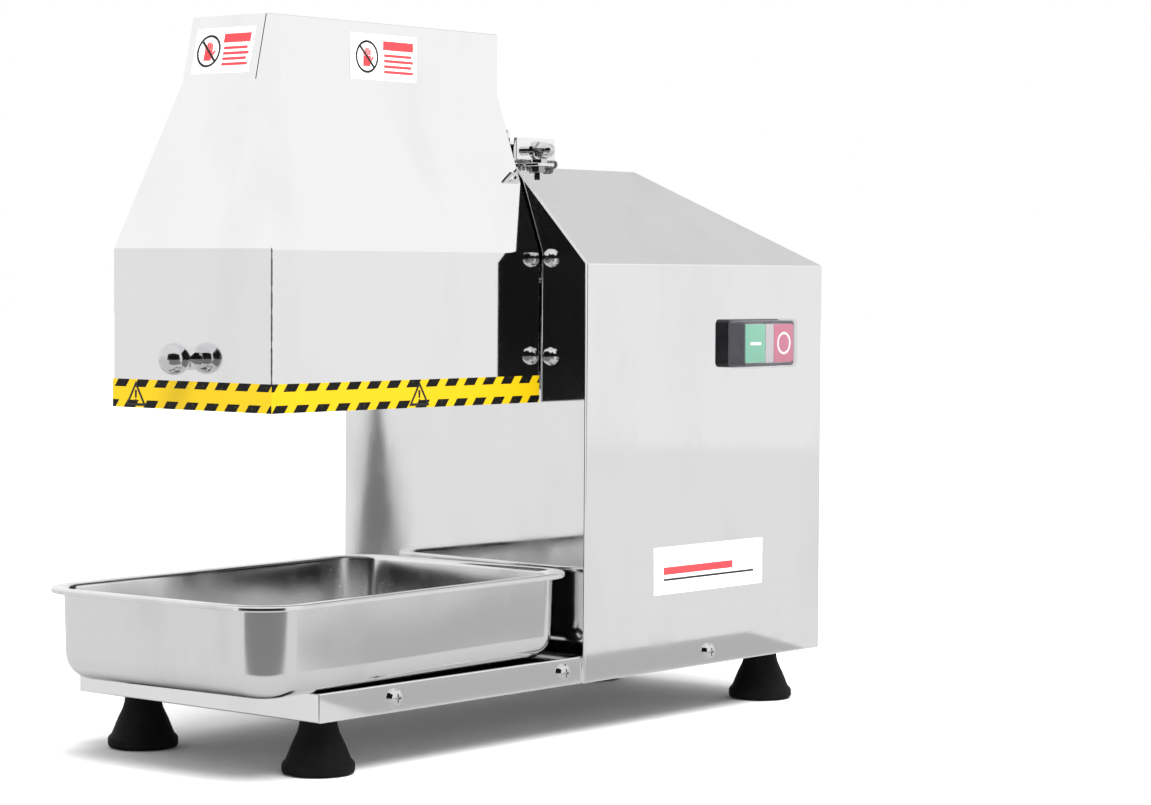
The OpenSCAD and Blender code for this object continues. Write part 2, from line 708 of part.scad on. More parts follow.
module thumb_nuts() at_base() color(black) for (s = [-1, 1]) difference() {
    rod_x(5, plate_xl, 12, y_mid + s * stud_y, z_stud);
    rod_x(4, plate_xl + eps, m12_r, y_mid + s * stud_y, z_stud);
    for (a = [0 : 30 : 330]) translate([5 - eps, y_mid + s * stud_y, z_stud]) rotate([a, 0, 0])
        translate([0, 13, 0]) rotate([0, 90, 0]) cylinder(h = 10, r = 2);
}

module side_plate(x0) difference() {
    block([x0, y_mid - plate_half, plate_z0], [x0 + plate_t, y_mid + plate_half, plate_z1]);
    for (y = [roller_y, rear_y]) rod_x(x0 - eps, x0 + plate_t + eps, bush_r, y, z_roller);
    for (s = [-1, 1]) rod_x(x0 - eps, x0 + plate_t + eps, m12_r + clear, y_mid + s * stud_y, z_stud);
    for (p = comb_screw_places()) rod_x(x0 - eps, x0 + plate_t + eps, m5_r + clear, p[0], p[1]);
}

function comb_screw_places() = [for (y = [comb_y + 5, mirror_y(comb_y + 5)]) [y, comb_z + 6]];

module side_plates() at_base() color(steel) {
    side_plate(plate_xl);
    side_plate(plate_xr);
}

module tie_tubes() at_base() color(steel) for (s = [-1, 1]) difference() {
    rod_x(plate_xl + plate_t, plate_xr, tie_r, y_mid + s * stud_y, z_stud);
    rod_x(plate_xl, plate_xr + eps, m12_r + clear, y_mid + s * stud_y, z_stud);
}

module roller_bushes() at_base() color([0.72, 0.5, 0.25])
    for (x = [plate_xl, plate_xr], y = [roller_y, rear_y]) difference() {
        rod_x(x, x + plate_t, bush_r, y, z_roller);
        rod_x(x - eps, x + plate_t + eps, journal_r + run_gap, y, z_roller);
    }

finger_gap = 1.4;              // between a finger and the discs beside it

// One comb: a bar between the side plates with a finger in each gap between the discs
module comb(start, y_axis) difference() {
    union() {
        block([plate_xl + plate_t, comb_y, comb_z], [plate_xr, comb_y + comb_bar, comb_z + comb_h]);
        for (k = [0 : blades - 2]) {
            x = start + k * blade_pitch + blade_t + finger_gap;
            block([x, comb_y + 5, comb_z + 5],
                [x + blade_pitch - blade_t - 2 * finger_gap, y_mid - nip, z_roller]);
        }
    }
    rod_x(plate_xl, plate_xr + 9, hub_r + 1.5, y_axis, z_roller);
    for (x = [plate_xl + plate_t - eps, plate_xr - 8]) rod_x(x, x + 8 + eps, m5_r, comb_y + 5, comb_z + 6);
}

module stripper_combs() at_base() color(steel) {
    comb(stack_x, roller_y);
    translate([0, 2 * y_mid, 0]) mirror([0, 1, 0]) comb(stack_x + blade_pitch / 2, roller_y);
}

module cassette_screws() at_base() color(bright) for (p = comb_screw_places()) {
    rod_x(plate_xl - 3, plate_xl, 4.2, p[0], p[1]);
    rod_x(plate_xl - eps, plate_xl + plate_t + 7, m5_r, p[0], p[1]);
    rod_x(plate_xr + plate_t, plate_xr + plate_t + 3, 4.2, p[0], p[1]);
    rod_x(plate_xr - 7, plate_xr + plate_t + eps, m5_r, p[0], p[1]);
}

module roller_shaft(y, lead) {
    rod_x(plate_xl - 2, plate_xl + plate_t + end_play, journal_r, y, z_roller);
    rod_x(plate_xl + plate_t + end_play, stack_x + lead, hub_r, y, z_roller);
    hex_x(stack_x + lead, stack_x + lead + blades * blade_pitch, hex_r, y, z_roller);
    rod_x(stack_x + lead + blades * blade_pitch, plate_xr - end_play, hub_r, y, z_roller);
    rod_x(plate_xr - end_play, roller_gear_x + roller_gear_w, journal_r, y, z_roller);
}

roller_gear_x = plate_xr + plate_t + 1.5;
roller_gear_w = 9;

module front_shaft() at_base() color(bright) {
    roller_shaft(roller_y, 0);
    hex_x(roller_gear_x + roller_gear_w, wall_x + 2, hex_drive_r, roller_y, z_roller);
}

module rear_shaft() at_base() color(bright) roller_shaft(rear_y, blade_pitch / 2);

tooth_h = 6;
half_tooth = 180 / blade_teeth;

// A toothed disc with the hub that spaces it from the next one
module blade_disc(x0, y, turn) difference() {
    union() {
        on_shaft(x0, x0 + blade_t, y, z_roller, turn) polygon([
            for (k = [0 : 2 * blade_teeth - 1])
                at_angle(k % 2 == 0 ? blade_r : blade_r - tooth_h, half_tooth * k)]);
        rod_x(x0, x0 + blade_pitch - run_gap, hub_r, y, z_roller);
    }
    hex_x(x0 - eps, x0 + blade_pitch + eps, hex_r, y, z_roller);
}

module blade_stack(start, y)
    for (k = [0 : blades - 1]) blade_disc(start + k * blade_pitch, y, half_tooth * (k % 2));

module front_blades() at_base() color(bright) blade_stack(stack_x, roller_y);

module rear_blades() at_base() color(bright) blade_stack(stack_x + blade_pitch / 2, rear_y);

module roller_gear(y, turn) difference() {
    on_shaft(roller_gear_x, roller_gear_x + roller_gear_w, y, z_roller, turn)
        gear_outline(roller_module, roller_teeth);
    rod_x(roller_gear_x - eps, roller_gear_x + roller_gear_w + eps, journal_r, y, z_roller);
}

module front_gear() at_base() color(iron) roller_gear(roller_y, 0);

module rear_gear() at_base() color(iron) roller_gear(rear_y, 180 / roller_teeth);

// ---------- hood ----------

function hood_side(t) =
    let(base = z_hood - (t > 0 ? eps : 0), top = z_top + (t > 0 ? eps : 0), c = chute_w / 2) [
    [hood_y0 + t, base], [hood_y1 - t, base], [hood_y1 - t, z_skirt], [y_mid + c - t, z_slope],
    [y_mid + c - t, top], [y_mid - c + t, top], [y_mid - c + t, z_slope], [hood_y0 + t, z_skirt]];

function hood_front(t) = let(base = z_hood - (t > 0 ? eps : 0), top = z_top + (t > 0 ? eps : 0)) [
    [hood_x0 + t, base], [hood_x1 - t, base], [hood_x1 - t, top],
    [hood_x0 + hood_lean + t, top], [hood_x0 + t, z_skirt]];

module hood_solid(t) intersection() {
    along_x(hood_x0 - 1, hood_x1 + 1) polygon(hood_side(t));
    along_y(hood_y0 - 1, hood_y1 + 1) polygon(hood_front(t));
}

module hood_shell() at_base() color(steel) difference() {
    hood_solid(0);
    hood_solid(hood_t);
    block([hood_x1 - hood_t - eps, hood_y0 + hood_t, z_hood - eps],
        [hood_x1 + eps, hood_y1 - hood_t, plate_z1 + 2]);
    rod_x(hood_x0 - eps, hood_x0 + hood_t + eps, 2.2, y_mid, z_knob);
}

tape_t = 0.3;

module hazard_tape() at_base() color([0.98, 0.85, 0.05]) difference() {
    block([hood_x0 - tape_t, hood_y0 - tape_t, z_hood], [hood_x1, hood_y1 + tape_t, z_hood + tape_h]);
    block([hood_x0, hood_y0, z_hood - eps], [hood_x1 + eps, hood_y1, z_hood + tape_h + eps]);
}

label_w = 60;
label_h = 28.5;
label_x = hood_x1 - 138.5;
side_label_w = 50;
z_label = z_slope + 4.4;
lean_a = atan(hood_lean / (slope_h + chute_h));

module hood_labels() at_base() color("white") {
    block([label_x, y_mid - chute_w / 2 - tape_t, z_label],
        [label_x + label_w, y_mid - chute_w / 2, z_label + label_h]);
    translate([hood_x0, 0, z_skirt]) rotate([0, lean_a, 0])
        translate([-tape_t, y_mid - side_label_w / 2, slope_h + 7]) cube([tape_t, side_label_w, label_h]);
}

z_knob = z_flange + 211;

module ball_knob() at_base() color(bright) translate([hood_x0, y_mid, z_knob]) rotate([0, -90, 0]) {
    rotate_extrude() polygon([
        [0, 0], [7, 0], [7, 1.5], [5, 3], [4, 5], [4, knob_stand - 4], [0, knob_stand - 4]]);
    translate([0, 0, knob_stand]) sphere(r = knob_r);
    translate([0, 0, -hood_t - 2]) cylinder(h = hood_t + 2 + eps, r = 2);
}

module hinge_arm() at_base() color(steel) difference() {
    union() {
        rod_y(ear_y0 + ear_t + 1, ear_y1 - ear_t - 1, 7.5, pivot_x, z_pivot);
        block([hood_x1, y_mid - arm_half, z_pivot - 4], [pivot_x, y_mid + arm_half, z_pivot + 4]);
        block([hood_x1, y_mid - arm_half, z_pivot - 7], [hood_x1 + 2.5, y_mid + arm_half, z_pivot + 13]);
    }
    rod_y(ear_y0, ear_y1, pin_r + run_gap, pivot_x, z_pivot);
}

z_magnet = z_flange + 300;

module safety_magnet() at_base() color(black)
    block([hood_x1 - hood_t - 7, y_mid - 12, z_magnet], [hood_x1 - hood_t, y_mid + 12, z_magnet + 16]);

module reed_switch() at_base() color(black)
    block([case_x0, y_mid - 14, z_magnet], [case_x0 + 12, y_mid + 14, z_magnet + 18]);

// ---------- hinge on the housing ----------

module hinge_bracket() at_base() color(steel) difference() {
    union() {
        block([bracket_x, ear_y0, z_roof], [bracket_x + bracket_l, ear_y1, z_roof + bracket_t]);
        for (y = [ear_y0, ear_y1 - ear_t])
            block([bracket_x, y, z_roof], [bracket_x + bracket_l, y + ear_t, z_roof + bracket_t + ear_h]);
        block([bracket_x, ear_y0 - 12, z_roof], [bracket_x + tab_l, ear_y0 + eps, z_roof + bracket_t]);
        block([tab_x, tab_y, z_roof], [bracket_x + tab_l, ear_y0 - 11.5, z_roof + bracket_t]);
    }
    rod_y(ear_y0 - eps, ear_y1 + eps, pin_r, pivot_x, z_pivot);
    rod_z(z_roof - eps, z_roof + bracket_t + eps, m6_r, rest_x, rest_y);
}

module hinge_pin() at_base() color(bright) {
    rod_y(ear_y0 - 13, ear_y1 + 2, pin_r, pivot_x, z_pivot);
    translate([pivot_x, ear_y1 + 1.5, z_pivot]) rotate([-90, 0, 0]) cylinder(h = 4, r = nut_r, $fn = 6);
}

module ring_y(y0, y1, r) difference() {
    rod_y(y0, y1, r, pivot_x, z_pivot);
    rod_y(y0 - eps, y1 + eps, pin_r, pivot_x, z_pivot);
}

module hinge_washers() at_base() color(bright) {
    ring_y(ear_y0 - 1.6, ear_y0, 6);
    ring_y(ear_y1, ear_y1 + 1.5, 6);
}

module hinge_nuts() at_base() color(bright) {
    translate([pivot_x, ear_y0 - 1.6, z_pivot]) rotate([90, 0, 0]) difference() {
        cylinder(h = 5, r = nut_r, $fn = 6);
        translate([0, 0, -eps]) cylinder(h = 6, r = pin_r);
    }
    translate([rest_x, rest_y, z_roof - 5]) difference() {
        cylinder(h = 5, r = nut_r, $fn = 6);
        translate([0, 0, -eps]) cylinder(h = 6, r = m6_r);
    }
}

// An acorn nut standing on z = 0, blind at the dome
module acorn(bore) difference() {
    union() {
        cylinder(h = 5, r = nut_r, $fn = 6);
        rotate_extrude() polygon(concat(
            [[0, 4]], [for (a = [0 : 15 : 90]) [4.9 * cos(a), 5 + 4.9 * sin(a)]]));
    }
    translate([0, 0, -eps]) cylinder(h = 7, r = bore);
}

module acorn_nuts() at_base() color(bright) {
    translate([pivot_x, ear_y0 - 6.6, z_pivot]) rotate([90, 0, 0]) acorn(pin_r);
    translate([rest_x, rest_y, z_roof - 5]) rotate([180, 0, 0]) scale(0.85) acorn(m6_r / 0.85);
}

module rest_screw() at_base() color(bright) {
    rod_z(z_roof - 9, z_roof + bracket_t + 1, m6_r, rest_x, rest_y);
    translate([rest_x, rest_y, z_roof + bracket_t]) cylinder(h = 2.5, r = nut_r, $fn = 6);
}

// ---------- tray ----------

// A round post with its lower edge rounded by f, the corner of a dished shape
module dish_post(r, f, h) rotate_extrude($fn = 32) polygon(concat(
    [[0, 0]], [for (a = [-90 : 15 : 0]) [r - f + f * cos(a), f + f * sin(a)]], [[r, h], [0, h]]));

module dish(l, w, r, f, h) hull() for (x = [-1, 1], y = [-1, 1])
    translate([x * (l / 2 - r), y * (w / 2 - r), 0]) dish_post(r, f, h);

module rim_slab(l, w, r, h) hull() for (x = [-1, 1], y = [-1, 1])
    translate([x * (l / 2 - r), y * (w / 2 - r), 0]) cylinder(h = h, r = r, $fn = 32);

module tray() at_base() color(steel) translate([tray_x, tray_y, z_deck]) rotate(tray_yaw) {
    wall_l = tray_l - 2 * tray_rim;
    wall_w = tray_w - 2 * tray_rim;
    wall_r = tray_corner_r - tray_rim;
    difference() {
        union() {
            dish(wall_l, wall_w, wall_r, tray_floor_r, tray_h);
            translate([0, 0, tray_h - tray_t]) rim_slab(tray_l, tray_w, tray_corner_r, tray_t);
        }
        translate([0, 0, tray_t])
            dish(wall_l - 2 * tray_t, wall_w - 2 * tray_t, wall_r - tray_t, tray_floor_r - tray_t, tray_h);
    }
}

base_plate();
base_channels();
rubber_feet();
foot_bolts();
flange_screws();
motor_cover();
end_wall();
wall_bolts();
switch_body();
switch_boot();
indicator_lens();
name_plate();
cable_gland();
motor_shell();
stator();
motor_end_bell();
fan_cover();
motor_foot();
run_capacitor();
gearbox_case();
gearbox_lid();
gearbox_bolts();
bearings();
cassette_studs();
thumb_nuts();
side_plates();
tie_tubes();
stripper_combs();
roller_bushes();
cassette_screws();
hinge_bracket();
hinge_pin();
hinge_washers();
hinge_nuts();
acorn_nuts();
rest_screw();
reed_switch();
hood_shell();
hazard_tape();
hood_labels();
ball_knob();
hinge_arm();
safety_magnet();
rotor_core();
rotor_shaft();
cooling_fan();
layshaft();
layshaft_gear();
output_shaft();
output_gear();
drive_coupling();
front_shaft();
front_blades();
front_gear();
rear_shaft();
rear_blades();
rear_gear();
start_button();
stop_button();
tray();
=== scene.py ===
import json
import logging
import math
import random
from dataclasses import dataclass
from enum import Enum
from typing import Optional, Sequence, Union

import bmesh
import bpy
from mathutils import Matrix, Vector

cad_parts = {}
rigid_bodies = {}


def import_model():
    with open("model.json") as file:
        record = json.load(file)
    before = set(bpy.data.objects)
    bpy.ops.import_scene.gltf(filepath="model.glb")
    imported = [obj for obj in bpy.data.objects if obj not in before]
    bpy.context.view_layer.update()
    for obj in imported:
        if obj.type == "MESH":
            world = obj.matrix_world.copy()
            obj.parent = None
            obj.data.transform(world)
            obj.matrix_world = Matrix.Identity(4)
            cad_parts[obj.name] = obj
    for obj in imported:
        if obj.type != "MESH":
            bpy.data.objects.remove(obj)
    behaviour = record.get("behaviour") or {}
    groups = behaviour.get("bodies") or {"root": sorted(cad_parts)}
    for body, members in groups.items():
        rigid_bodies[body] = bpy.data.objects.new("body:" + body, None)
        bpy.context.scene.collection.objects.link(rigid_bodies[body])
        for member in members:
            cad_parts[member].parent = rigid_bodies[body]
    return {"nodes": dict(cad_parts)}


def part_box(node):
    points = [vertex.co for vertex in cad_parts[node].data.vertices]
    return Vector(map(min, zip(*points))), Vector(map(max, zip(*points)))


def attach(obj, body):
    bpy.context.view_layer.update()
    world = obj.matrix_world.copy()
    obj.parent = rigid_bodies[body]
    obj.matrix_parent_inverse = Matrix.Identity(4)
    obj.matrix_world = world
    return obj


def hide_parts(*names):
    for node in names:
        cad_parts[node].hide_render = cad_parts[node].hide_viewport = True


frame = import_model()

log = logging.getLogger("tenderizer")

MM = 0.001
ORIGIN = Vector((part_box("base_plate")[0].x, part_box("base_plate")[0].y, 0.0))
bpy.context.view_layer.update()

UP = Vector((0.0, 0.0, 1.0))
RIGHT = Vector((1.0, 0.0, 0.0))
FORWARD = Vector((0.0, -1.0, 0.0))
LEFT = Vector((-1.0, 0.0, 0.0))
SUNK = -0.05
HOOP_POINTS = 64
CORNER_STEPS = 8
EDGE_STEPS = 4

Colour = tuple[float, float, float]
Outline = list[tuple[float, float]]


def at(x: float, y: float, z: float) -> Vector:
    """A point given in millimetres from the base's front-left corner, at floor level."""
    return ORIGIN + Vector((x, y, z)) * MM


# ---------- shader nodes ----------


class Wire:
    """A socket that takes part in sums as a number does."""

    def __init__(self, graph: "Graph", socket: bpy.types.NodeSocket) -> None:
        """Keeps the socket and the nodes that it belongs to."""
        self.graph = graph
        self.socket = socket

    def maths(self, operation: str, *others: "Number", flipped: bool = False) -> "Wire":
        """Adds a Math node.

        Args:
            operation: The Math node's operation.
            others: The values or wires that join this one.
            flipped: True puts this wire last instead of first.

        Returns:
            The node's result.
        """
        values = [*others, self] if flipped else [self, *others]
        node = self.graph.node("ShaderNodeMath", {"operation": operation}, dict(enumerate(values)))
        return Wire(self.graph, node.outputs[0])

    def __add__(self, other: "Number") -> "Wire":
        """This plus another."""
        return self.maths("ADD", other)

    def __sub__(self, other: "Number") -> "Wire":
        """This minus another."""
        return self.maths("SUBTRACT", other)

    def __rsub__(self, other: "Number") -> "Wire":
        """Another minus this."""
        return self.maths("SUBTRACT", other, flipped=True)

    def __mul__(self, other: "Number") -> "Wire":
        """This times another."""
        return self.maths("MULTIPLY", other)

    def __truediv__(self, other: "Number") -> "Wire":
        """This divided by another."""
        return self.maths("DIVIDE", other)

    def __gt__(self, other: "Number") -> "Wire":
        """1 where this is more than another, and 0 elsewhere."""
        return self.maths("GREATER_THAN", other)

    def __lt__(self, other: "Number") -> "Wire":
        """1 where this is less than another, and 0 elsewhere."""
        return self.maths("LESS_THAN", other)

    def __abs__(self) -> "Wire":
        """This without its sign."""
        return self.maths("ABSOLUTE")

    __radd__ = __add__
    __rmul__ = __mul__

    def fraction(self) -> "Wire":
        """What is left of this after its whole number."""
        return self.maths("FRACT")

    def larger(self, other: "Number") -> "Wire":
        """The larger of this and another."""
        return self.maths("MAXIMUM", other)


Number = Union[float, Wire]
Value = Union[float, Colour, Wire, bpy.types.NodeSocket]


class Graph:
    """The nodes of one material."""

    def __init__(self, tree: bpy.types.NodeTree) -> None:
        """Starts with no nodes."""
        self.tree = tree
        tree.nodes.clear()

    def node(
        self,
        kind: str,
        settings: Optional[dict[str, object]] = None,
        inputs: Optional[dict[Union[str, int], Value]] = None,
    ) -> bpy.types.Node:
        """Adds a node.

        Args:
            kind: The node's type.
            settings: Its own settings, set first.
            inputs: The values or links of its sockets, by name or number.

        Returns:
            The new node.
        """
        made = self.tree.nodes.new(kind)
        for key, setting in (settings or {}).items():
            setattr(made, key, setting)
        for key, value in (inputs or {}).items():
            self.feed(made.inputs[key], value)
        return made

    def feed(self, socket: bpy.types.NodeSocket, value: Value) -> None:
        """Links a wire or socket to a socket, or sets its plain value.

        Args:
            socket: The socket that takes it.
            value: A wire, a socket, a colour or a number.
        """
        if isinstance(value, Wire):
            self.tree.links.new(value.socket, socket)
        elif isinstance(value, bpy.types.NodeSocket):
            self.tree.links.new(value, socket)
        elif isinstance(value, tuple) and socket.type == "RGBA":
            socket.default_value = (*value, 1.0)
        else:
            socket.default_value = value

    def place(self) -> bpy.types.NodeSocket:
        """The place on the object, in metres."""
        return self.node("ShaderNodeTexCoord").outputs["Object"]

    def stretched(self, scale: Colour) -> bpy.types.NodeSocket:
        """The place, stretched by a scale along each axis.

        Args:
            scale: The factors along X, Y and Z.

        Returns:
            The stretched place.
        """
        made = self.node(
            "ShaderNodeVectorMath", {"operation": "MULTIPLY"}, {0: self.place(), 1: scale}
        )
        return made.outputs[0]

    def noise(self, scale: float, stretch: Colour = (1.0, 1.0, 1.0), detail: float = 3.0) -> Wire:
        """Soft noise.

        Args:
            scale: Marks to the metre.
            stretch: Factors on the scale along X, Y and Z.
            detail: The number of finer layers.

        Returns:
            The noise, from about 0.3 to 0.7.
        """
        made = self.node(
            "ShaderNodeTexNoise", None,
            {"Vector": self.stretched(stretch), "Scale": scale, "Detail": detail},
        )
        return Wire(self, made.outputs["Fac"])

    def ramp(self, value: Wire, low: float, high: float) -> Wire:
        """A value brought from low..high to 0..1, and held there.

        Args:
            value: The value.
            low: What becomes 0.
            high: What becomes 1.

        Returns:
            The new value.
        """
        made = self.node(
            "ShaderNodeMapRange", {"clamp": True},
            {"Value": value, "From Min": low, "From Max": high},
        )
        return Wire(self, made.outputs[0])

    def blend(self, share: Number, first: Value, second: Value) -> bpy.types.NodeSocket:
        """A mix of two colours.

        Args:
            share: How much of the second there is, from 0 to 1.
            first: The first colour.
            second: The second colour.

        Returns:
            The mixed colour.
        """
        made = self.node("ShaderNodeMix", {"data_type": "RGBA"}, {"Factor": share, 6: first, 7: second})
        return made.outputs[2]

    def bump(self, height: Wire, depth: float) -> bpy.types.NodeSocket:
        """A normal bent by a height.

        Args:
            height: The height, from 0 to 1.
            depth: What 1 stands for, in metres.

        Returns:
            The bent normal.
        """
        made = self.node("ShaderNodeBump", None, {"Height": height, "Distance": depth, "Strength": 1.0})
        return made.outputs["Normal"]


# ---------- finishes ----------

PATCH_SCALE = 14.0
SMEAR_SCALE = 22.0
FLECK_SCALE = 650.0
RUB_SCALE = 60.0
SPECK_SCALE = 1400.0
SCUFF_SCALE = 420.0
RUN_SCALE = 70.0
LINE_BITE = 0.02


class Slot(Enum):
    """The material slots of the machine's record."""

    BRUSHED = "brushed_stainless"
    POLISHED = "polished_stainless"
    FASTENER = "bright_fasteners"
    RUBBER = "black_rubber"
    BLACK = "black_plastic"
    CLEAR = "clear_silicone"
    LENS = "lamp_lens"
    GREEN = "green_plastic"
    RED = "red_plastic"
    LABEL = "white_label"
    TAPE = "yellow_tape"
    CAST = "cast_aluminium"
    LAMINATED = "laminated_iron"
    MACHINED = "machined_steel"
    BLADE = "blade_steel"
    BRONZE = "bronze"


class Grain(Enum):
    """Which way a sheet was rubbed, as factors on the scale of its lines."""

    ALONG_X = (0.02, 1.0, 1.0)
    ALONG_Y = (1.0, 0.02, 1.0)
    ALONG_Z = (1.0, 1.0, 0.02)
    EVEN = (1.0, 1.0, 1.0)


@dataclass(frozen=True)
class Finish:
    """A finish with fine marks all over.

    Attributes:
        name: The material's name.
        colour: Its colour.
        shade: The colour of its worn or dirty places.
        roughness: Its roughness.
        metallic: 1 for a metal and 0 for anything else.
        grain: Which way it was rubbed.
        line_scale: Lines or grains to the metre.
        line_depth: Depth of the lines in metres.
        patchiness: How much the roughness changes from place to place.
        coat: Weight of the clear coat.
    """

    name: str
    colour: Colour
    shade: Colour
    roughness: float
    metallic: float = 0.0
    grain: Grain = Grain.EVEN
    line_scale: float = 900.0
    line_depth: float = 0.00001
    patchiness: float = 0.06
    coat: float = 0.0

    def material(self) -> bpy.types.Material:
        """This finish's material, made at its first use.

        Returns:
            The material.
        """
        found = bpy.data.materials.get(self.name)
        if found:
            return found
        made = bpy.data.materials.new(self.name)
        made.use_nodes = True
        graph = Graph(made.node_tree)
        shader = graph.node("ShaderNodeBsdfPrincipled", None, self.constants())
        for socket, value in self.surface(graph).items():
            graph.feed(shader.inputs[socket], value)
        graph.node("ShaderNodeOutputMaterial", None, {"Surface": shader.outputs[0]})
        return made

    def constants(self) -> dict[str, float]:
        """The shader's values that are the same all over."""
        return {"Metallic": self.metallic, "Coat Weight": self.coat}

    def surface(self, graph: Graph) -> dict[str, Value]:
        """The shader's values that change from place to place.

        Args:
            graph: The material's nodes.

        Returns:
            A value or link for each socket.
        """
        lines = graph.noise(self.line_scale, self.grain.value)
        patches = graph.ramp(graph.noise(PATCH_SCALE), 0.35, 0.7)
        share = graph.ramp(lines * 0.5 + patches * 0.3, 0.2, 0.6)
        return {
            "Base Color": graph.blend(share, self.colour, self.shade),
            "Roughness": patches * self.patchiness + self.roughness + lines * LINE_BITE,
            "Normal": graph.bump(lines, self.line_depth),
        }


@dataclass(frozen=True)
class MirrorSheet(Finish):
    """Stainless sheet polished to a mirror, with a faint pull of the rolling in it.

    Attributes:
        swell: How far the sheet swells out of true, in metres.
        swell_scale: Swells to the metre.
        smear: How much wiped smears dull it.
    """

    swell: float = 0.00012
    swell_scale: float = 5.0
    smear: float = 0.05

    def surface(self, graph: Graph) -> dict[str, Value]:
        """Fine lines, wiped smears and long swells.

        Args:
            graph: The material's nodes.

        Returns:
            A value or link for each socket.
        """
        lines = graph.noise(self.line_scale, self.grain.value, 2.0)
        smears = graph.ramp(graph.noise(SMEAR_SCALE, (1.0, 1.0, 0.45), 5.0), 0.5, 0.72)
        flecks = graph.ramp(graph.noise(FLECK_SCALE, detail=1.0), 0.72, 0.78)
        swells = graph.noise(self.swell_scale, (1.0, 1.0, 0.6), 1.0)
        fine = graph.bump(lines, self.line_depth)
        long = graph.node(
            "ShaderNodeBump", None,
            {"Height": swells, "Distance": self.swell, "Strength": 1.0, "Normal": fine},
        )
        return {
            "Base Color": graph.blend(smears * 0.5 + flecks * 0.3, self.colour, self.shade),
            "Roughness": smears * self.smear + flecks * 0.1 + self.roughness + lines * LINE_BITE,
            "Normal": long.outputs["Normal"],
        }


@dataclass(frozen=True)
class Moulded(Finish):
    """Moulded plastic or rubber: a fine pebble, rubbed places and specks of dust.

    Attributes:
        dust: The colour of the dust.
        dust_share: How much of it there is.
        opacity: 1 where nothing shows through.
        shine: Strength of its plain reflection, 0.5 for most plastics.
    """

    dust: Colour = (0.4, 0.4, 0.4)
    dust_share: float = 0.2
    opacity: float = 1.0
    shine: float = 0.5

    def constants(self) -> dict[str, float]:
        """The shader's values that are the same all over."""
        return {
            "Metallic": 0.0,
            "Coat Weight": self.coat,
            "Alpha": self.opacity,
            "Specular IOR Level": self.shine,
        }

    def surface(self, graph: Graph) -> dict[str, Value]:
        """Pebble, rubbed places and dust.

        Args:
            graph: The material's nodes.

        Returns:
            A value or link for each socket.
        """
        pebble = graph.noise(self.line_scale, self.grain.value, 2.0)
        rubbed = graph.ramp(graph.noise(RUB_SCALE), 0.45, 0.75)
        specks = graph.ramp(graph.noise(SPECK_SCALE, detail=1.0), 0.68, 0.76) * self.dust_share
        worn = graph.blend(rubbed * 0.6, self.colour, self.shade)
        return {
            "Base Color": graph.blend(specks, worn, self.dust),
            "Roughness": rubbed * self.patchiness + self.roughness + specks * 0.2,
            "Normal": graph.bump(pebble, self.line_depth),
        }


@dataclass(frozen=True)
class StripedTape(Finish):
    """Yellow tape with slanting black dashes along both of its edges.

    Attributes:
        low: Height of the tape's lower edge in metres.
        high: Height of its upper edge.
        pitch: Distance from one dash to the next.
        border: Height of a row of dashes.
        slant: How far a dash leans for each metre of height.
    """

    low: float = 0.215
    high: float = 0.2324
    pitch: float = 0.0177
    border: float = 0.0047
    slant: float = 0.75
    ink: Colour = (0.003, 0.003, 0.003)

    def constants(self) -> dict[str, float]:
        """The shader's values that are the same all over."""
        return {"Metallic": 0.0, "Specular IOR Level": 0.2}

    def surface(self, graph: Graph) -> dict[str, Value]:
        """The dashes, and small scuffs all over.

        Args:
            graph: The material's nodes.

        Returns:
            A value or link for each socket.
        """
        place = graph.node("ShaderNodeSeparateXYZ", None, {0: graph.place()})
        facing = graph.node("ShaderNodeNewGeometry").outputs["Normal"]
        turn = graph.node("ShaderNodeSeparateXYZ", None, {0: facing})
        across, deep, height = (Wire(graph, place.outputs[i]) for i in range(3))
        sideways = abs(Wire(graph, turn.outputs[0])) > 0.7
        along = across * (1.0 - sideways) - deep * sideways
        dash = ((along - height * self.slant) / self.pitch + 40.0).fraction() > 0.42
        edge = (height < self.low + self.border).larger(height > self.high - self.border)
        scuffs = graph.ramp(graph.noise(SCUFF_SCALE, detail=4.0), 0.6, 0.75)
        grain = graph.noise(self.line_scale, detail=2.0)
        paint = graph.blend(dash * edge, self.colour, self.ink)
        return {
            "Base Color": graph.blend(scuffs * 0.12, paint, self.shade),
            "Roughness": scuffs * self.patchiness + self.roughness + grain * 0.05,
            "Normal": graph.bump(grain, self.line_depth),
        }


@dataclass(frozen=True)
class Stacked(Finish):
    """Thin iron sheets stacked along X.

    Attributes:
        sheet: Thickness of one sheet in metres.
    """

    sheet: float = 0.0007

    def surface(self, graph: Graph) -> dict[str, Value]:
        """The joints between the sheets, and varnish that has run.

        Args:
            graph: The material's nodes.

        Returns:
            A value or link for each socket.
        """
        place = graph.node("ShaderNodeSeparateXYZ", None, {0: graph.place()})
        joint = abs((Wire(graph, place.outputs[0]) / self.sheet).fraction() - 0.5) * 2.0
        runs = graph.ramp(graph.noise(RUN_SCALE), 0.4, 0.7)
        return {
            "Base Color": graph.blend(joint * 0.5 + runs * 0.3, self.colour, self.shade),
            "Roughness": runs * self.patchiness + self.roughness,
            "Normal": graph.bump(1.0 - joint, self.line_depth),
        }


STEEL = (0.90, 0.90, 0.905)
STEEL_SHADE = (0.82, 0.82, 0.83)

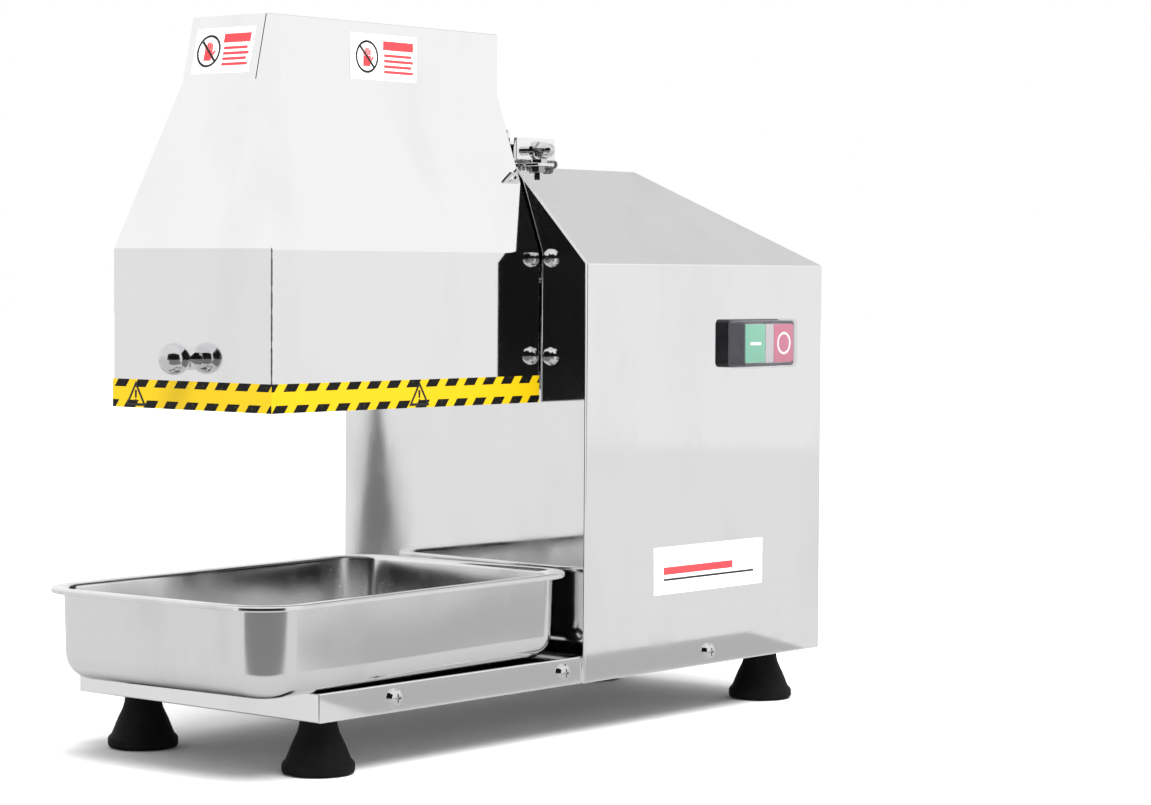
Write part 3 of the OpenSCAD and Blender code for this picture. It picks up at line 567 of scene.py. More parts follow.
MIRROR_UPRIGHT = MirrorSheet(
    "mirror_stainless_upright", STEEL, STEEL_SHADE, 0.035, 1.0, Grain.ALONG_Z, 2600.0, 0.0000012
)
MIRROR_LONG = MirrorSheet(
    "mirror_stainless_long", STEEL, STEEL_SHADE, 0.045, 1.0, Grain.ALONG_X, 2600.0, 0.0000015
)
PRESSED = MirrorSheet(
    "pressed_stainless", (0.80, 0.80, 0.80), (0.62, 0.62, 0.63), 0.13, 1.0, Grain.ALONG_X,
    1900.0, 0.000004, swell=0.0011, swell_scale=15.0, smear=0.12,
)
BRUSHED = MirrorSheet(
    "brushed_stainless_sheet", (0.70, 0.70, 0.71), (0.58, 0.58, 0.59), 0.26, 1.0, Grain.ALONG_X,
    1500.0, 0.000008, smear=0.08,
)
CHROME = MirrorSheet(
    "bright_chrome", (0.70, 0.70, 0.71), (0.56, 0.56, 0.57), 0.05, 1.0, Grain.EVEN,
    900.0, 0.000002, swell=0.00001, smear=0.12,
)
DARK_STEEL = MirrorSheet(
    "oiled_nut_steel", (0.36, 0.36, 0.37), (0.20, 0.20, 0.20), 0.12, 1.0, Grain.EVEN,
    900.0, 0.00001, swell=0.00001, smear=0.15,
)
WELD = Finish(
    "weld_bead_metal", (0.52, 0.52, 0.53), (0.06, 0.06, 0.06), 0.22, 1.0, Grain.EVEN,
    900.0, 0.0009, 0.2,
)
SEAM = Finish("dark_seam", (0.03, 0.03, 0.032), (0.08, 0.08, 0.08), 0.5, 0.0, line_depth=0.00002)
RUBBER = Moulded(
    "black_foot_rubber", (0.004, 0.004, 0.0045), (0.010, 0.010, 0.010), 0.62,
    line_scale=1600.0, line_depth=0.00004, patchiness=0.15, dust_share=0.02, shine=0.12,
)
BLACK = Moulded(
    "black_moulding", (0.008, 0.008, 0.010), (0.02, 0.02, 0.022), 0.34,
    line_scale=2400.0, line_depth=0.00002, coat=0.05, dust_share=0.04, shine=0.3,
)
CLEAR = Moulded(
    "smoky_clear_cap", (0.24, 0.24, 0.27), (0.36, 0.36, 0.38), 0.12,
    line_scale=500.0, line_depth=0.00001, patchiness=0.1, coat=0.3, dust_share=0.05,
    opacity=0.14, shine=0.6,
)
LENS = Moulded(
    "lamp_lens_grey", (0.42, 0.39, 0.40), (0.36, 0.33, 0.34), 0.2,
    line_scale=800.0, line_depth=0.00002, coat=0.6,
)
GREEN = Moulded(
    "green_button", (0.11, 0.40, 0.25), (0.09, 0.35, 0.22), 0.3,
    line_scale=1800.0, line_depth=0.000015, coat=0.3,
)
RED = Moulded(
    "red_button", (0.46, 0.08, 0.15), (0.40, 0.07, 0.13), 0.3,
    line_scale=1800.0, line_depth=0.000015, coat=0.3,
)
WHITE_INK = Finish("white_print", (0.88, 0.88, 0.88), (0.76, 0.76, 0.76), 0.45)
RED_INK = Finish("red_print", (0.72, 0.03, 0.04), (0.6, 0.04, 0.05), 0.5)
BLACK_INK = Finish("black_print", (0.006, 0.006, 0.006), (0.014, 0.014, 0.014), 0.62)
LABEL = Finish("label_film", (0.90, 0.90, 0.89), (0.82, 0.82, 0.81), 0.35, coat=0.3)
TAPE = StripedTape("warning_tape", (0.58, 0.385, 0.0), (0.46, 0.36, 0.05), 0.5, line_depth=0.000008)
CAST = Finish(
    "sand_cast_aluminium", (0.56, 0.57, 0.58), (0.38, 0.38, 0.39), 0.46, 1.0, Grain.EVEN,
    420.0, 0.00018, 0.18,
)
LAMINATED = Stacked(
    "varnished_iron_stack", (0.24, 0.23, 0.23), (0.07, 0.05, 0.04), 0.42, 0.8, line_depth=0.00012
)
MACHINED = Finish(
    "machined_gear_steel", (0.52, 0.52, 0.53), (0.34, 0.33, 0.32), 0.3, 1.0, Grain.ALONG_Y,
    1300.0, 0.00002, 0.12,
)
BLADE = MirrorSheet(
    "ground_blade_steel", (0.76, 0.76, 0.77), (0.6, 0.6, 0.61), 0.18, 1.0, Grain.EVEN,
    1100.0, 0.00001,
)
BRONZE = Finish(
    "bearing_bronze", (0.58, 0.38, 0.16), (0.36, 0.22, 0.09), 0.34, 1.0, Grain.ALONG_X,
    1200.0, 0.00002, 0.14,
)

DEFAULTS: dict[Slot, Finish] = {
    Slot.BRUSHED: BRUSHED,
    Slot.POLISHED: MIRROR_UPRIGHT,
    Slot.FASTENER: CHROME,
    Slot.RUBBER: RUBBER,
    Slot.BLACK: BLACK,
    Slot.CLEAR: CLEAR,
    Slot.LENS: LENS,
    Slot.GREEN: GREEN,
    Slot.RED: RED,
    Slot.LABEL: LABEL,
    Slot.TAPE: TAPE,
    Slot.CAST: CAST,
    Slot.LAMINATED: LAMINATED,
    Slot.MACHINED: MACHINED,
    Slot.BLADE: BLADE,
    Slot.BRONZE: BRONZE,
}


# ---------- shapes ----------


@dataclass(frozen=True)
class Panel:
    """A flat face that marks are laid on.

    Attributes:
        corner: The place that marks are measured from.
        across: Unit vector to the right.
        upward: Unit vector up the face.
    """

    corner: Vector
    across: Vector
    upward: Vector

    def point(self, right: float, up: float, out: float = 0.0) -> Vector:
        """A point of the face.

        Args:
            right: Millimetres to the right of the corner.
            up: Millimetres above it.
            out: Millimetres in front of the face.

        Returns:
            The point in the machine's frame.
        """
        outward = self.across.cross(self.upward)
        return self.corner + (self.across * right + self.upward * up + outward * out) * MM

    @classmethod
    def front_of(cls, node: str) -> "Panel":
        """The upright front face of a CAD node, from its lower left corner."""
        return cls(Vector(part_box(node)[0]), RIGHT, UP)


def strip(left: float, right: float, low: float, high: float) -> Outline:
    """The outline of an upright rectangle."""
    return [(left, low), (right, low), (right, high), (left, high)]


def placed(name: str, data: bpy.types.ID) -> bpy.types.Object:
    """Puts a new object in the scene.

    Args:
        name: Its name.
        data: Its mesh, camera or light.

    Returns:
        The object.
    """
    made = bpy.data.objects.new(name, data)
    bpy.context.scene.collection.objects.link(made)
    return made


def unmirrored(*pieces: bpy.types.Object) -> list[bpy.types.Object]:
    """Keeps pieces out of the reflections in polished metal.

    Returns:
        The pieces.
    """
    for piece in pieces:
        piece.visible_glossy = False
    return list(pieces)


class Shape:
    """A mesh being put together in the machine's frame, in metres."""

    def __init__(self) -> None:
        """Starts with nothing."""
        self.mesh = bmesh.new()

    def skin(self, rings: Sequence[Sequence[Vector]], capped: bool = False) -> "Shape":
        """Joins rings of points that all have the same number of points.

        Args:
            rings: The rings, in order.
            capped: True closes the first and last ring with a face.

        Returns:
            This shape.
        """
        rows = [[self.mesh.verts.new(p) for p in ring] for ring in rings]
        for low, high in zip(rows, rows[1:]):
            for i in range(len(low)):
                j = (i + 1) % len(low)
                self.mesh.faces.new((low[i], low[j], high[j], high[i]))
        if capped:
            self.mesh.faces.new(rows[0][::-1])
            self.mesh.faces.new(rows[-1])
        return self

    def lathe(
        self, centre: Vector, axis: Vector, profile: Sequence[tuple[float, float]], steps: int = 72
    ) -> "Shape":
        """Turns a profile about an axis.

        Args:
            centre: The axis's start.
            axis: Unit vector along it.
            profile: Radius and height of each point in millimetres.
            steps: Points round the axis.

        Returns:
            This shape.
        """
        side = axis.orthogonal().normalized()
        other = axis.cross(side)
        turns = [2 * math.pi * i / steps for i in range(steps)]
        return self.skin([
            [centre + (axis * h + (side * math.cos(t) + other * math.sin(t)) * r) * MM for t in turns]
            for r, h in profile
        ])

    def slab(self, low: Vector, high: Vector) -> "Shape":
        """Adds a block.

        Args:
            low: Its lowest corner.
            high: Its highest corner.

        Returns:
            This shape.
        """
        rings = [
            [Vector((x, y, z)) for x, y in strip(low.x, high.x, low.y, high.y)]
            for z in (low.z, high.z)
        ]
        return self.skin(rings, capped=True)

    @staticmethod
    def rounded(low: Vector, high: Vector, corner: float, edge: float) -> list[list[Vector]]:
        """The rings of a block with rounded upright corners and a rounded front edge.

        Args:
            low: The block's lowest corner.
            high: Its highest corner.
            corner: Radius of its corners, seen from the front, in millimetres.
            edge: Radius of its front edge.

        Returns:
            Its rings, from the front to the back.
        """
        middle, half = (low + high) / 2, (high - low) / 2
        steps = EDGE_STEPS if edge > 0 else 0
        stations = [math.pi / 2 * i / EDGE_STEPS for i in range(steps + 1)]
        places = [(edge * (1 - math.sin(a)), low.y + edge * (1 - math.cos(a)) * MM) for a in stations]
        places.append((0.0, high.y))
        rings = []
        for inset, y in places:
            radius = max(corner - inset, 0.2) * MM
            reach_x, reach_z = half.x - inset * MM - radius, half.z - inset * MM - radius
            ring = []
            for quarter, (sx, sz) in enumerate(((1, 1), (-1, 1), (-1, -1), (1, -1))):
                for i in range(CORNER_STEPS + 1):
                    a = math.pi / 2 * (quarter + i / CORNER_STEPS)
                    x = middle.x + sx * reach_x + radius * math.cos(a)
                    z = middle.z + sz * reach_z + radius * math.sin(a)
                    ring.append(Vector((x, y, z)))
            rings.append(ring)
        return rings

    def cut_out(self, panel: Panel, outline: Outline, thick: float) -> "Shape":
        """Lays a thin flat figure on a panel.

        Args:
            panel: The panel.
            outline: The figure's corners on the panel in millimetres.
            thick: How far it stands out in millimetres.

        Returns:
            This shape.
        """
        rings = [[panel.point(u, v, out) for u, v in outline] for out in (SUNK, thick)]
        return self.skin(rings, capped=True)

    def hoop(
        self, panel: Panel, middle: tuple[float, float], outer: float, line: float, thick: float
    ) -> "Shape":
        """Lays a thin flat ring on a panel.

        Args:
            panel: The panel.
            middle: The ring's middle on the panel in millimetres.
            outer: Its outer radius.
            line: Width of its line.
            thick: How far it stands out.

        Returns:
            This shape.
        """
        turns = [2 * math.pi * i / HOOP_POINTS for i in range(HOOP_POINTS)]
        section = [(outer, SUNK), (outer, thick), (outer - line, thick), (outer - line, SUNK)]
        return self.skin([
            [panel.point(middle[0] + r * math.cos(t), middle[1] + r * math.sin(t), out) for t in turns]
            for r, out in section
        ])

    def tube(self, path: Sequence[Vector], radii: Sequence[float], steps: int = 14) -> "Shape":
        """Runs a round bead of changing radius along a path.

        Args:
            path: The bead's middle.
            radii: Its radius at each point in metres.
            steps: Points round it.

        Returns:
            This shape.
        """
        rings = []
        for i, (point, radius) in enumerate(zip(path, radii)):
            ahead = path[min(i + 1, len(path) - 1)] - path[max(i - 1, 0)]
            side = ahead.normalized().cross(UP)
            side = side.normalized() if side.length > 1e-6 else RIGHT
            other = side.cross(ahead.normalized())
            turns = [2 * math.pi * k / steps for k in range(steps)]
            rings.append([point + (side * math.cos(t) + other * math.sin(t)) * radius for t in turns])
        return self.skin(rings, capped=True)

    def copy_of(self, node: str) -> "Shape":
        """Takes a CAD node's mesh, with its flat faces made whole again.

        Args:
            node: The CAD node.

        Returns:
            This shape.
        """
        self.mesh.from_mesh(frame["nodes"][node].data)
        bmesh.ops.remove_doubles(self.mesh, verts=self.mesh.verts, dist=1e-6)
        bmesh.ops.dissolve_limit(
            self.mesh, angle_limit=math.radians(0.3), verts=self.mesh.verts, edges=self.mesh.edges
        )
        return self

    def build(
        self,
        name: str,
        finish: Finish,
        body: str,
        slot: Slot,
        nodes: Sequence[str] = (),
        soften: float = 0.0,
        shortest: float = 4.0,
        fold: float = 28.0,
    ) -> bpy.types.Object:
        """Makes the piece and puts it on its body.

        Args:
            name: The piece's name.
            finish: Its finish.
            body: The body that it rides on.
            slot: The record's slot that its finish stands for. Not used.
            nodes: The CAD nodes that it replaces.
            soften: Radius of its rounded edges in millimetres.
            shortest: Length of the shortest edge that is rounded, in millimetres.
            fold: Least angle between two faces that counts as an edge, in degrees.

        Returns:
            The piece.
        """
        bmesh.ops.remove_doubles(self.mesh, verts=self.mesh.verts, dist=1e-7)
        bmesh.ops.recalc_face_normals(self.mesh, faces=self.mesh.faces)
        weights = self.mesh.edges.layers.float.new("bevel_weight_edge")
        for edge in self.mesh.edges:
            bent = len(edge.link_faces) == 2 and edge.calc_face_angle(0.0) > math.radians(fold)
            edge.smooth = not bent or soften > 0
            edge[weights] = 1.0 if bent and edge.calc_length() > shortest * MM else 0.0
            if bent and edge[weights] == 0.0:
                edge.smooth = False
        verts = [v.co.copy() for v in self.mesh.verts]
        self.mesh.verts.index_update()
        faces = [[v.index for v in f.verts] for f in self.mesh.faces]
        data = bpy.data.meshes.new(name)
        data.from_pydata(verts, [], faces)
        made = placed(name, data)
        hard = self.carry_edges(data, weights)
        data.materials.append(finish.material())
        data.shade_smooth()
        for edge, sharp in zip(data.edges, hard):
            edge.use_edge_sharp = sharp
        if soften:
            rounder = made.modifiers.new("rounded_edges", "BEVEL")
            rounder.limit_method = "WEIGHT"
            rounder.width = soften * MM
            rounder.segments = 3
            rounder.harden_normals = True
            rounder.use_clamp_overlap = False
        self.mesh.free()
        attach(made, body)
        if nodes:
            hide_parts(*nodes)
        return made

    def carry_edges(self, data: bpy.types.Mesh, weights: bmesh.types.BMLayerItem) -> list[bool]:
        """Gives the finished mesh's edges their share of the rounding.

        Args:
            data: The finished mesh.
            weights: The layer that holds each edge's share.

        Returns:
            For each edge of the finished mesh, whether it stays sharp.
        """
        facts = {
            frozenset((e.verts[0].index, e.verts[1].index)): (e[weights], e.smooth)
            for e in self.mesh.edges
        }
        share = data.attributes.new("bevel_weight_edge", "FLOAT", "EDGE")
        hard = []
        for i, edge in enumerate(data.edges):
            weight, smooth = facts.get(frozenset(edge.vertices), (0.0, True))
            share.data[i].value = weight
            hard.append(not smooth)
        return hard


def body_of(node: str) -> str:
    """The body that a CAD node rides on."""
    return frame["nodes"][node].parent.name.removeprefix("body:")


def slot_of(node: str) -> Slot:
    """The record's slot of a CAD node."""
    name = frame["nodes"][node].material_slots[0].name
    return Slot(name.split(".")[0])


def softened(
    node: str,
    name: str,
    finish: Finish,
    radius: float,
    shortest: float = 4.0,
    fold: float = 28.0,
) -> bpy.types.Object:
    """Replaces a CAD node with the same shape, its edges rounded as a bend or a moulding is.

    Args:
        node: The CAD node.
        name: The new piece's name.
        finish: Its finish.
        radius: Radius of its edges in millimetres.
        shortest: Length of the shortest edge that is rounded.
        fold: Least angle between two faces that counts as an edge, in degrees.

    Returns:
        The new piece.
    """
    shape = Shape().copy_of(node)
    return shape.build(
        name, finish, body_of(node), SLOTS[node], (node,), radius, shortest, fold
    )


def dress(node: str, finish: Finish) -> None:
    """Gives a CAD node that keeps its own shape its finish."""
    for place in frame["nodes"][node].material_slots:
        place.material = finish.material()


# ---------- the machine ----------


@dataclass
class Base:
    """The folded deck on its channels and four rubber feet, in millimetres."""

    bend: float = 0.9
    foot_r: float = 22.0
    neck_r: float = 11.4
    foot_h: float = 35.0
    foot_steps: int = 96
    inset: float = 28.0
    length: float = 500.0
    depth: float = 210.0

    def build(self) -> list[bpy.types.Object]:
        """Makes the deck and the feet, and dresses the channels and screws.

        Returns:
            The pieces.
        """
        deck = softened("base_plate", "folded_deck", MIRROR_LONG, self.bend)
        dress("base_channels", BRUSHED)
        for node in ("foot_bolts", "flange_screws"):
            dress(node, CHROME)
        return [deck, self.feet()]

    def feet(self) -> bpy.types.Object:
        """Makes the four turned rubber feet.

        Returns:
            The piece.
        """
        profile = [
            (0.0, 0.3), (self.foot_r - 3.0, 0.0), (self.foot_r - 0.8, 0.5), (self.foot_r, 2.0),
            (self.foot_r, 5.6), (self.foot_r - 0.7, 6.8), (self.foot_r - 2.4, 8.6),
            (self.neck_r + 4.4, 18.0), (self.neck_r + 1.3, 24.5), (self.neck_r + 0.2, 28.5),
            (self.neck_r, 31.0), (self.neck_r, self.foot_h - 0.6), (self.neck_r - 0.6, self.foot_h),
            (0.0, self.foot_h),
        ]
        shape = Shape()
        for x in (self.inset, self.length - self.inset):
            for y in (self.inset, self.depth - self.inset):
                shape.lathe(at(x, y, 0.0), UP, profile, self.foot_steps)
        return shape.build("turned_feet", RUBBER, "housing", Slot.RUBBER, ("rubber_feet",))


@dataclass
class Housing:
    """The motor housing's sheets and what is fixed to them, in millimetres."""

    bend: float = 0.8
    shortest: float = 12.0
    fold: float = 12.0
    wall_bend: float = 0.5
    ink_t: float = 0.04
    margin: float = 10.0

    def build(self) -> list[bpy.types.Object]:
        """Makes the cover, the end wall and the name plate, and dresses the rest.

        Returns:
            The pieces.
        """
        cover = softened(
            "motor_cover", "cover_sheet", MIRROR_UPRIGHT, self.bend, self.shortest, self.fold
        )
        wall = softened("end_wall", "end_wall_sheet", MIRROR_UPRIGHT, self.wall_bend, self.shortest)
        dress("wall_bolts", CHROME)
        dress("cable_gland", BLACK)
        return [cover, wall, *self.name_plate()]

    def name_plate(self) -> list[bpy.types.Object]:
        """Makes the blank plate with two plain rules.

        Returns:
            The pieces.
        """
        low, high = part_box("name_plate")
        plate = softened("name_plate", "blank_name_plate", LABEL, 0.12)
        face = Panel.front_of("name_plate")
        left, width = self.margin, (high.x - low.x) / MM
        dark = Shape().cut_out(face, strip(left, width - left, 9, 10.4), self.ink_t)
        red = Shape().cut_out(face, strip(left, width - 34, 13, 18), self.ink_t)
        return [
            plate,
            dark.build("plate_dark_rule", BLACK_INK, "housing", Slot.LABEL),
            red.build("plate_red_rule", RED_INK, "housing", Slot.LABEL),
        ]


@dataclass
class Switch:
    """The start and stop buttons, the lamp between them and the clear cap, in millimetres."""

    cap_corner: float = 4.2
    cap_edge: float = 1.3
    cap_wall: float = 1.2
    block_corner: float = 3.6
    key_corner: float = 1.8
    pocket_gap: float = 0.4
    lap: float = 0.3
    slack: float = 0.35
    symbol_t: float = 0.06
    bar_l: float = 12.0
    bar_h: float = 2.0
    ring_r: float = 7.6
    ring_line: float = 1.5

    def build(self) -> list[bpy.types.Object]:
        """Makes the block, its buttons with their symbols, the lamp and the cap.

        Returns:
            The pieces.
        """
        return unmirrored(
            self.block(),
            self.cap(),
            softened("indicator_lens", "lamp_window", LENS, 0.4),
            self.key("start_button", "green_key", GREEN),
            self.key("stop_button", "red_key", RED),
            self.bar(),
            self.ring(),
        )

    def key(self, node: str, name: str, finish: Finish) -> bpy.types.Object:
        """Makes a button with rounded corners.

        Args:
            node: The CAD node that it replaces, also the name of its body.
            name: The piece's name.
            finish: Its finish.

        Returns:
            The button.
        """
        low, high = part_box(node)
        shape = Shape().skin(Shape.rounded(low, high, self.key_corner, 0.5), capped=True)
        return shape.build(name, finish, node, SLOTS[node], (node,))

    def cap(self) -> bpy.types.Object:
        """Makes the clear cap, a thin shell that is open at the back.

        Returns:
            The piece.
        """
        low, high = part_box("switch_boot")
        wall = self.cap_wall
        outer = Shape.rounded(low, high, self.cap_corner, self.cap_edge)
        inner = Shape.rounded(
            low + Vector((wall, wall, wall)) * MM, high - Vector((wall, 0, wall)) * MM,
            self.cap_corner - wall, self.cap_edge * 0.5,
        )
        shape = Shape().skin([*inner, *reversed(outer)], capped=True)
        return shape.build("clear_cap", CLEAR, "housing", Slot.CLEAR, ("switch_boot",))

    def block(self) -> bpy.types.Object:
        """Makes the black block: its collar on the housing, and its nose with the buttons' pocket.

        Returns:
            The piece.
        """
        low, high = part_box("switch_body")
        boot_low, boot_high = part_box("switch_boot")
        seam = boot_high.y - self.lap * MM
        collar = Shape.rounded(Vector((low.x, seam, low.z)), high, self.block_corner, 0.9)
        inset = (self.cap_wall + self.slack) * MM
        nose = Shape.rounded(
            Vector((boot_low.x + inset, low.y, boot_low.z + inset)),
            Vector((boot_high.x - inset, seam, boot_high.z - inset)),
            self.block_corner - 1.2, 0.5,
        )
        keys = [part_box(node) for node in ("start_button", "stop_button")]
        gap = self.pocket_gap * MM
        left, right = keys[0][0].x - gap, keys[1][1].x + gap
        bottom, top = keys[0][0].z - gap, keys[0][1].z + gap
        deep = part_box("indicator_lens")[1].y
        pocket = [
            Shape.rounded(Vector((left, y, bottom)), Vector((right, y + 1, top)), 0.9, 0.0)[0]
            for y in (low.y, deep)
        ]
        shape = Shape().skin([*reversed(collar), *reversed(nose), *pocket], capped=True)
        return shape.build("switch_block", BLACK, "housing", Slot.BLACK, ("switch_body",))

    def face(self, node: str) -> tuple[Panel, float, float]:
        """The front face of a button, and the middle of it in millimetres."""
        low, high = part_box(node)
        return Panel.front_of(node), (high.x - low.x) / 2 / MM, (high.z - low.z) / 2 / MM

    def bar(self) -> bpy.types.Object:
        """Makes the start button's white bar.

        Returns:
            The piece.
        """
        panel, u, v = self.face("start_button")
        l, h = self.bar_l / 2, self.bar_h / 2
        shape = Shape().cut_out(panel, strip(u - l, u + l, v - h, v + h), self.symbol_t)
        return shape.build("start_bar", WHITE_INK, "start_button", Slot.GREEN)

    def ring(self) -> bpy.types.Object:
        """Makes the stop button's white ring.

        Returns:
            The piece.
        """
        panel, u, v = self.face("stop_button")
        shape = Shape().hoop(panel, (u, v), self.ring_r, self.ring_line, self.symbol_t)
        return shape.build("stop_ring", WHITE_INK, "stop_button", Slot.RED)


@dataclass
class Hinge:
    """The hood's bracket on the roof, its pin and nuts, and the weld, in millimetres."""

    edge: float = 0.4
    bead_r: float = 2.0
    ripple: float = 0.8
    ripples: int = 9
    steps: int = 60
    seed: int = 7
    pin_nut: tuple[float, float, float] = (263.0, 58.4, 379.0)
    rest_nut: tuple[float, float, float] = (246.0, 44.0, 368.0)
    bead_start: tuple[float, float, float] = (244.0, 58.6, 370.2)
    pin_nut_h: float = 2.6
    rest_nut_h: float = 4.2

    def build(self) -> list[bpy.types.Object]:
        """Makes the bracket and the weld, and dresses the pin, washers and nuts.

        Returns:
            The pieces.
        """
        for node in ("hinge_pin", "hinge_washers"):
            dress(node, CHROME)
        return [
            *unmirrored(softened("rest_screw", "rest_bolt", CHROME, 0.15, 2.0)),
            *self.nuts(),
            softened("hinge_bracket", "hinge_bracket_plate", MIRROR_LONG, self.edge, 3.0),
            softened("hinge_arm", "hinge_arm_plate", MIRROR_LONG, self.edge, 3.0),
            self.weld(),
        ]

    def nuts(self) -> list[bpy.types.Object]:
        """Makes the lock nuts and the caps on the pin and on the rest screw.

        Returns:
            The pieces.
        """
        pin, rest = at(*self.pin_nut), at(*self.rest_nut)
        locks, caps = Shape(), Shape()
        for place, way, r, h in ((pin, FORWARD, 5.6, self.pin_nut_h), (rest, -UP, 4.7, self.rest_nut_h)):
            locks.lathe(place, way, [(0, 0), (r - 0.4, 0), (r, 0.5), (r, h - 0.5), (r - 0.5, h), (0, h)], 6)
        cap = pin + FORWARD * (self.pin_nut_h + 0.1) * MM
        caps.lathe(cap, FORWARD, [(0, 0), (5.3, 0), (5.7, 0.4), (5.7, 3.4), (5.2, 3.8), (0, 3.8)], 6)
        dome = [(0, 3.6), (4.9, 3.6), (4.9, 4.8), (4.5, 6.8), (3.5, 8.6), (1.9, 9.7), (0, 10.0)]
        caps.lathe(cap, FORWARD, dome, 40)
        stub = [(0, 0), (3.0, 0), (3.0, 3.0), (2.4, 3.7), (0, 3.8)]
        caps.lathe(rest - UP * self.rest_nut_h * MM, -UP, stub, 32)
        return unmirrored(
            locks.build("lock_nuts", DARK_STEEL, "housing", Slot.FASTENER, ("hinge_nuts",)),
            caps.build("cap_nuts", CHROME, "housing", Slot.FASTENER, ("acorn_nuts",)),
        )

    def weld(self) -> bpy.types.Object:
        """Makes the rough bead along the foot of the front ear.

        Returns:
            The piece.
        """
        chance = random.Random(self.seed)
        start, end = at(*self.bead_start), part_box("hinge_bracket")[1] - RIGHT * MM
        path, radii = [], []
        for i in range(self.steps + 1):
            share = i / self.steps
            x = start.x + (end.x - start.x) * share
            path.append(Vector((x, start.y + chance.uniform(-0.35, 0.35) * MM, start.z)))
            wave = abs(math.sin(share * math.pi * self.ripples))
            radii.append((self.bead_r + self.ripple * wave + chance.uniform(-0.15, 0.15)) * MM)
        radii[0] = radii[-1] = 0.4 * MM
        return Shape().tube(path, radii).build("weld_bead", WELD, "housing", Slot.POLISHED)


@dataclass
class Hood:
    """The hinged safety hood with its knob, tape and labels, in millimetres."""

    bend: float = 0.7
    shortest: float = 6.0
    fold: float = 8.0
    lean: float = math.atan(31.7 / 142.0)
    side_w: float = 50.0
    ball_r: float = 9.7
    ball_out: float = 13.2
    neck_r: float = 4.0
    ball_steps: int = 28
    sign_up: float = 14.2
    sign_r: float = 10.2
    sign_line: float = 1.5
    rows: int = 4
    row_pitch: float = 3.4
    seam_r: float = 0.55
    seam_steps: int = 12

    def build(self) -> list[bpy.types.Object]:
        """Makes the shell, seam, knob, tape and labels.

        Returns:
            The pieces.
        """
        return [
            self.knob(),
            softened(
                "hood_shell", "hood_sheet", MIRROR_UPRIGHT, self.bend, self.shortest, self.fold
            ),
            self.tape(),
            softened("hood_labels", "label_films", LABEL, 0.12),
            self.seam(),
            self.tape_signs(),
            *self.label_prints(),
        ]

    def tape(self) -> bpy.types.Object:
        """Makes the three strips of warning tape around the foot of the hood.

        Returns:
            The piece.
        """
        low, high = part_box("hazard_tape")
        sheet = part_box("hood_shell")[0].x
        thick = sheet - low.x
        shape = Shape()
        shape.slab(low, Vector((high.x, low.y + thick, high.z)))
        shape.slab(Vector((low.x, high.y - thick, low.z)), high)
        shape.slab(Vector((low.x, low.y + thick, low.z)), Vector((sheet, high.y - thick, high.z)))
        band = shape.build("tape_band", TAPE, "hood", SLOTS["hazard_tape"], ("hazard_tape",))
        return unmirrored(band)[0]

    def knob(self) -> bpy.types.Object:
        """Makes the ball knob on its foot, with the stud that holds it.

        Returns:
            The piece.
        """
        low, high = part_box("ball_knob")
        foot = Vector((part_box("hood_shell")[0].x, (low.y + high.y) / 2, (low.z + high.z) / 2))
        profile = [(0, -2.8), (2, -2.8), (2, 0), (6.9, 0), (6.9, 1.2), (5.2, 2.4), (4.3, 3.6)]
        first = math.asin(self.neck_r / self.ball_r)
        for i in range(self.ball_steps + 1):
            turn = first + (math.pi - first) * i / self.ball_steps
            profile.append((self.ball_r * math.sin(turn), self.ball_out - self.ball_r * math.cos(turn)))
        shape = Shape().lathe(foot, LEFT, profile, 64)
        return shape.build("round_knob", CHROME, "hood", Slot.POLISHED, ("ball_knob",))

    def seam(self) -> bpy.types.Object:
        """Makes the dark line where the left panel meets the front one.

        Returns:
            The piece.
        """
        low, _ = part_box("hood_shell")
        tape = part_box("hazard_tape")[1].z
        near = Vector((low.x + 0.15 * MM, low.y + 0.15 * MM, tape))
        top = Vector((near.x, near.y, at(0, 0, 311.5).z))
        path = [near.lerp(top, i / self.seam_steps) for i in range(self.seam_steps + 1)]
        bead = Shape().tube(path, [self.seam_r * MM] * len(path), 8)
        return bead.build("corner_seam", SEAM, "hood", Slot.POLISHED)

    def panels(self) -> dict[str, Panel]:
        """The faces that carry labels: the chute's front, and the leaning left panel.

        Returns:
            The faces, by name.
        """
        front_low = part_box("hood_labels")[0]
        lean = Vector((math.sin(self.lean), 0.0, math.cos(self.lean)))
        left_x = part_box("hood_shell")[0].x
        foot = Vector((left_x, at(0, 105, 0).y + self.side_w / 2 * MM, at(0, 0, 312).z))
        return {
            "front": Panel(
                Vector((at(100, 0, 0).x, front_low.y, at(0, 0, 418.4).z)),
                RIGHT, UP,
            ),
            "side": Panel(foot + lean * 109 * MM, FORWARD, lean),
        }

    def label_prints(self) -> list[bpy.types.Object]:
        """Makes the plain prohibition sign and the bars that stand for lines of print.

        Returns:
            The pieces.
        """
        dark, red = Shape(), Shape()
        for key, width, out in (("front", 60.0, 0.05), ("side", 50.0, 0.45)):
            panel = self.panels()[key]
            middle = (width * 0.25, self.sign_up)
            dark.hoop(panel, middle, self.sign_r, self.sign_line, out)
            dark.cut_out(panel, self.slash(middle, self.sign_r - 0.8, 0.8), out + 0.02)
            for outline in self.hand(middle):
                red.cut_out(panel, outline, out)
            left, right = width * 0.49, width * 0.95
            red.cut_out(panel, strip(left, right, 19.0, 24.6), out)
            for row in range(self.rows):
                shorter = right - (1.6 if row % 2 else 0.0)
                low = 4.6 + self.row_pitch * row
                high = 6.3 + self.row_pitch * row
                red.cut_out(panel, strip(left + 1.0, shorter, low, high), out)
        return [
            dark.build("label_signs", BLACK_INK, "hood", Slot.LABEL),
            red.build("label_bars", RED_INK, "hood", Slot.LABEL),
        ]

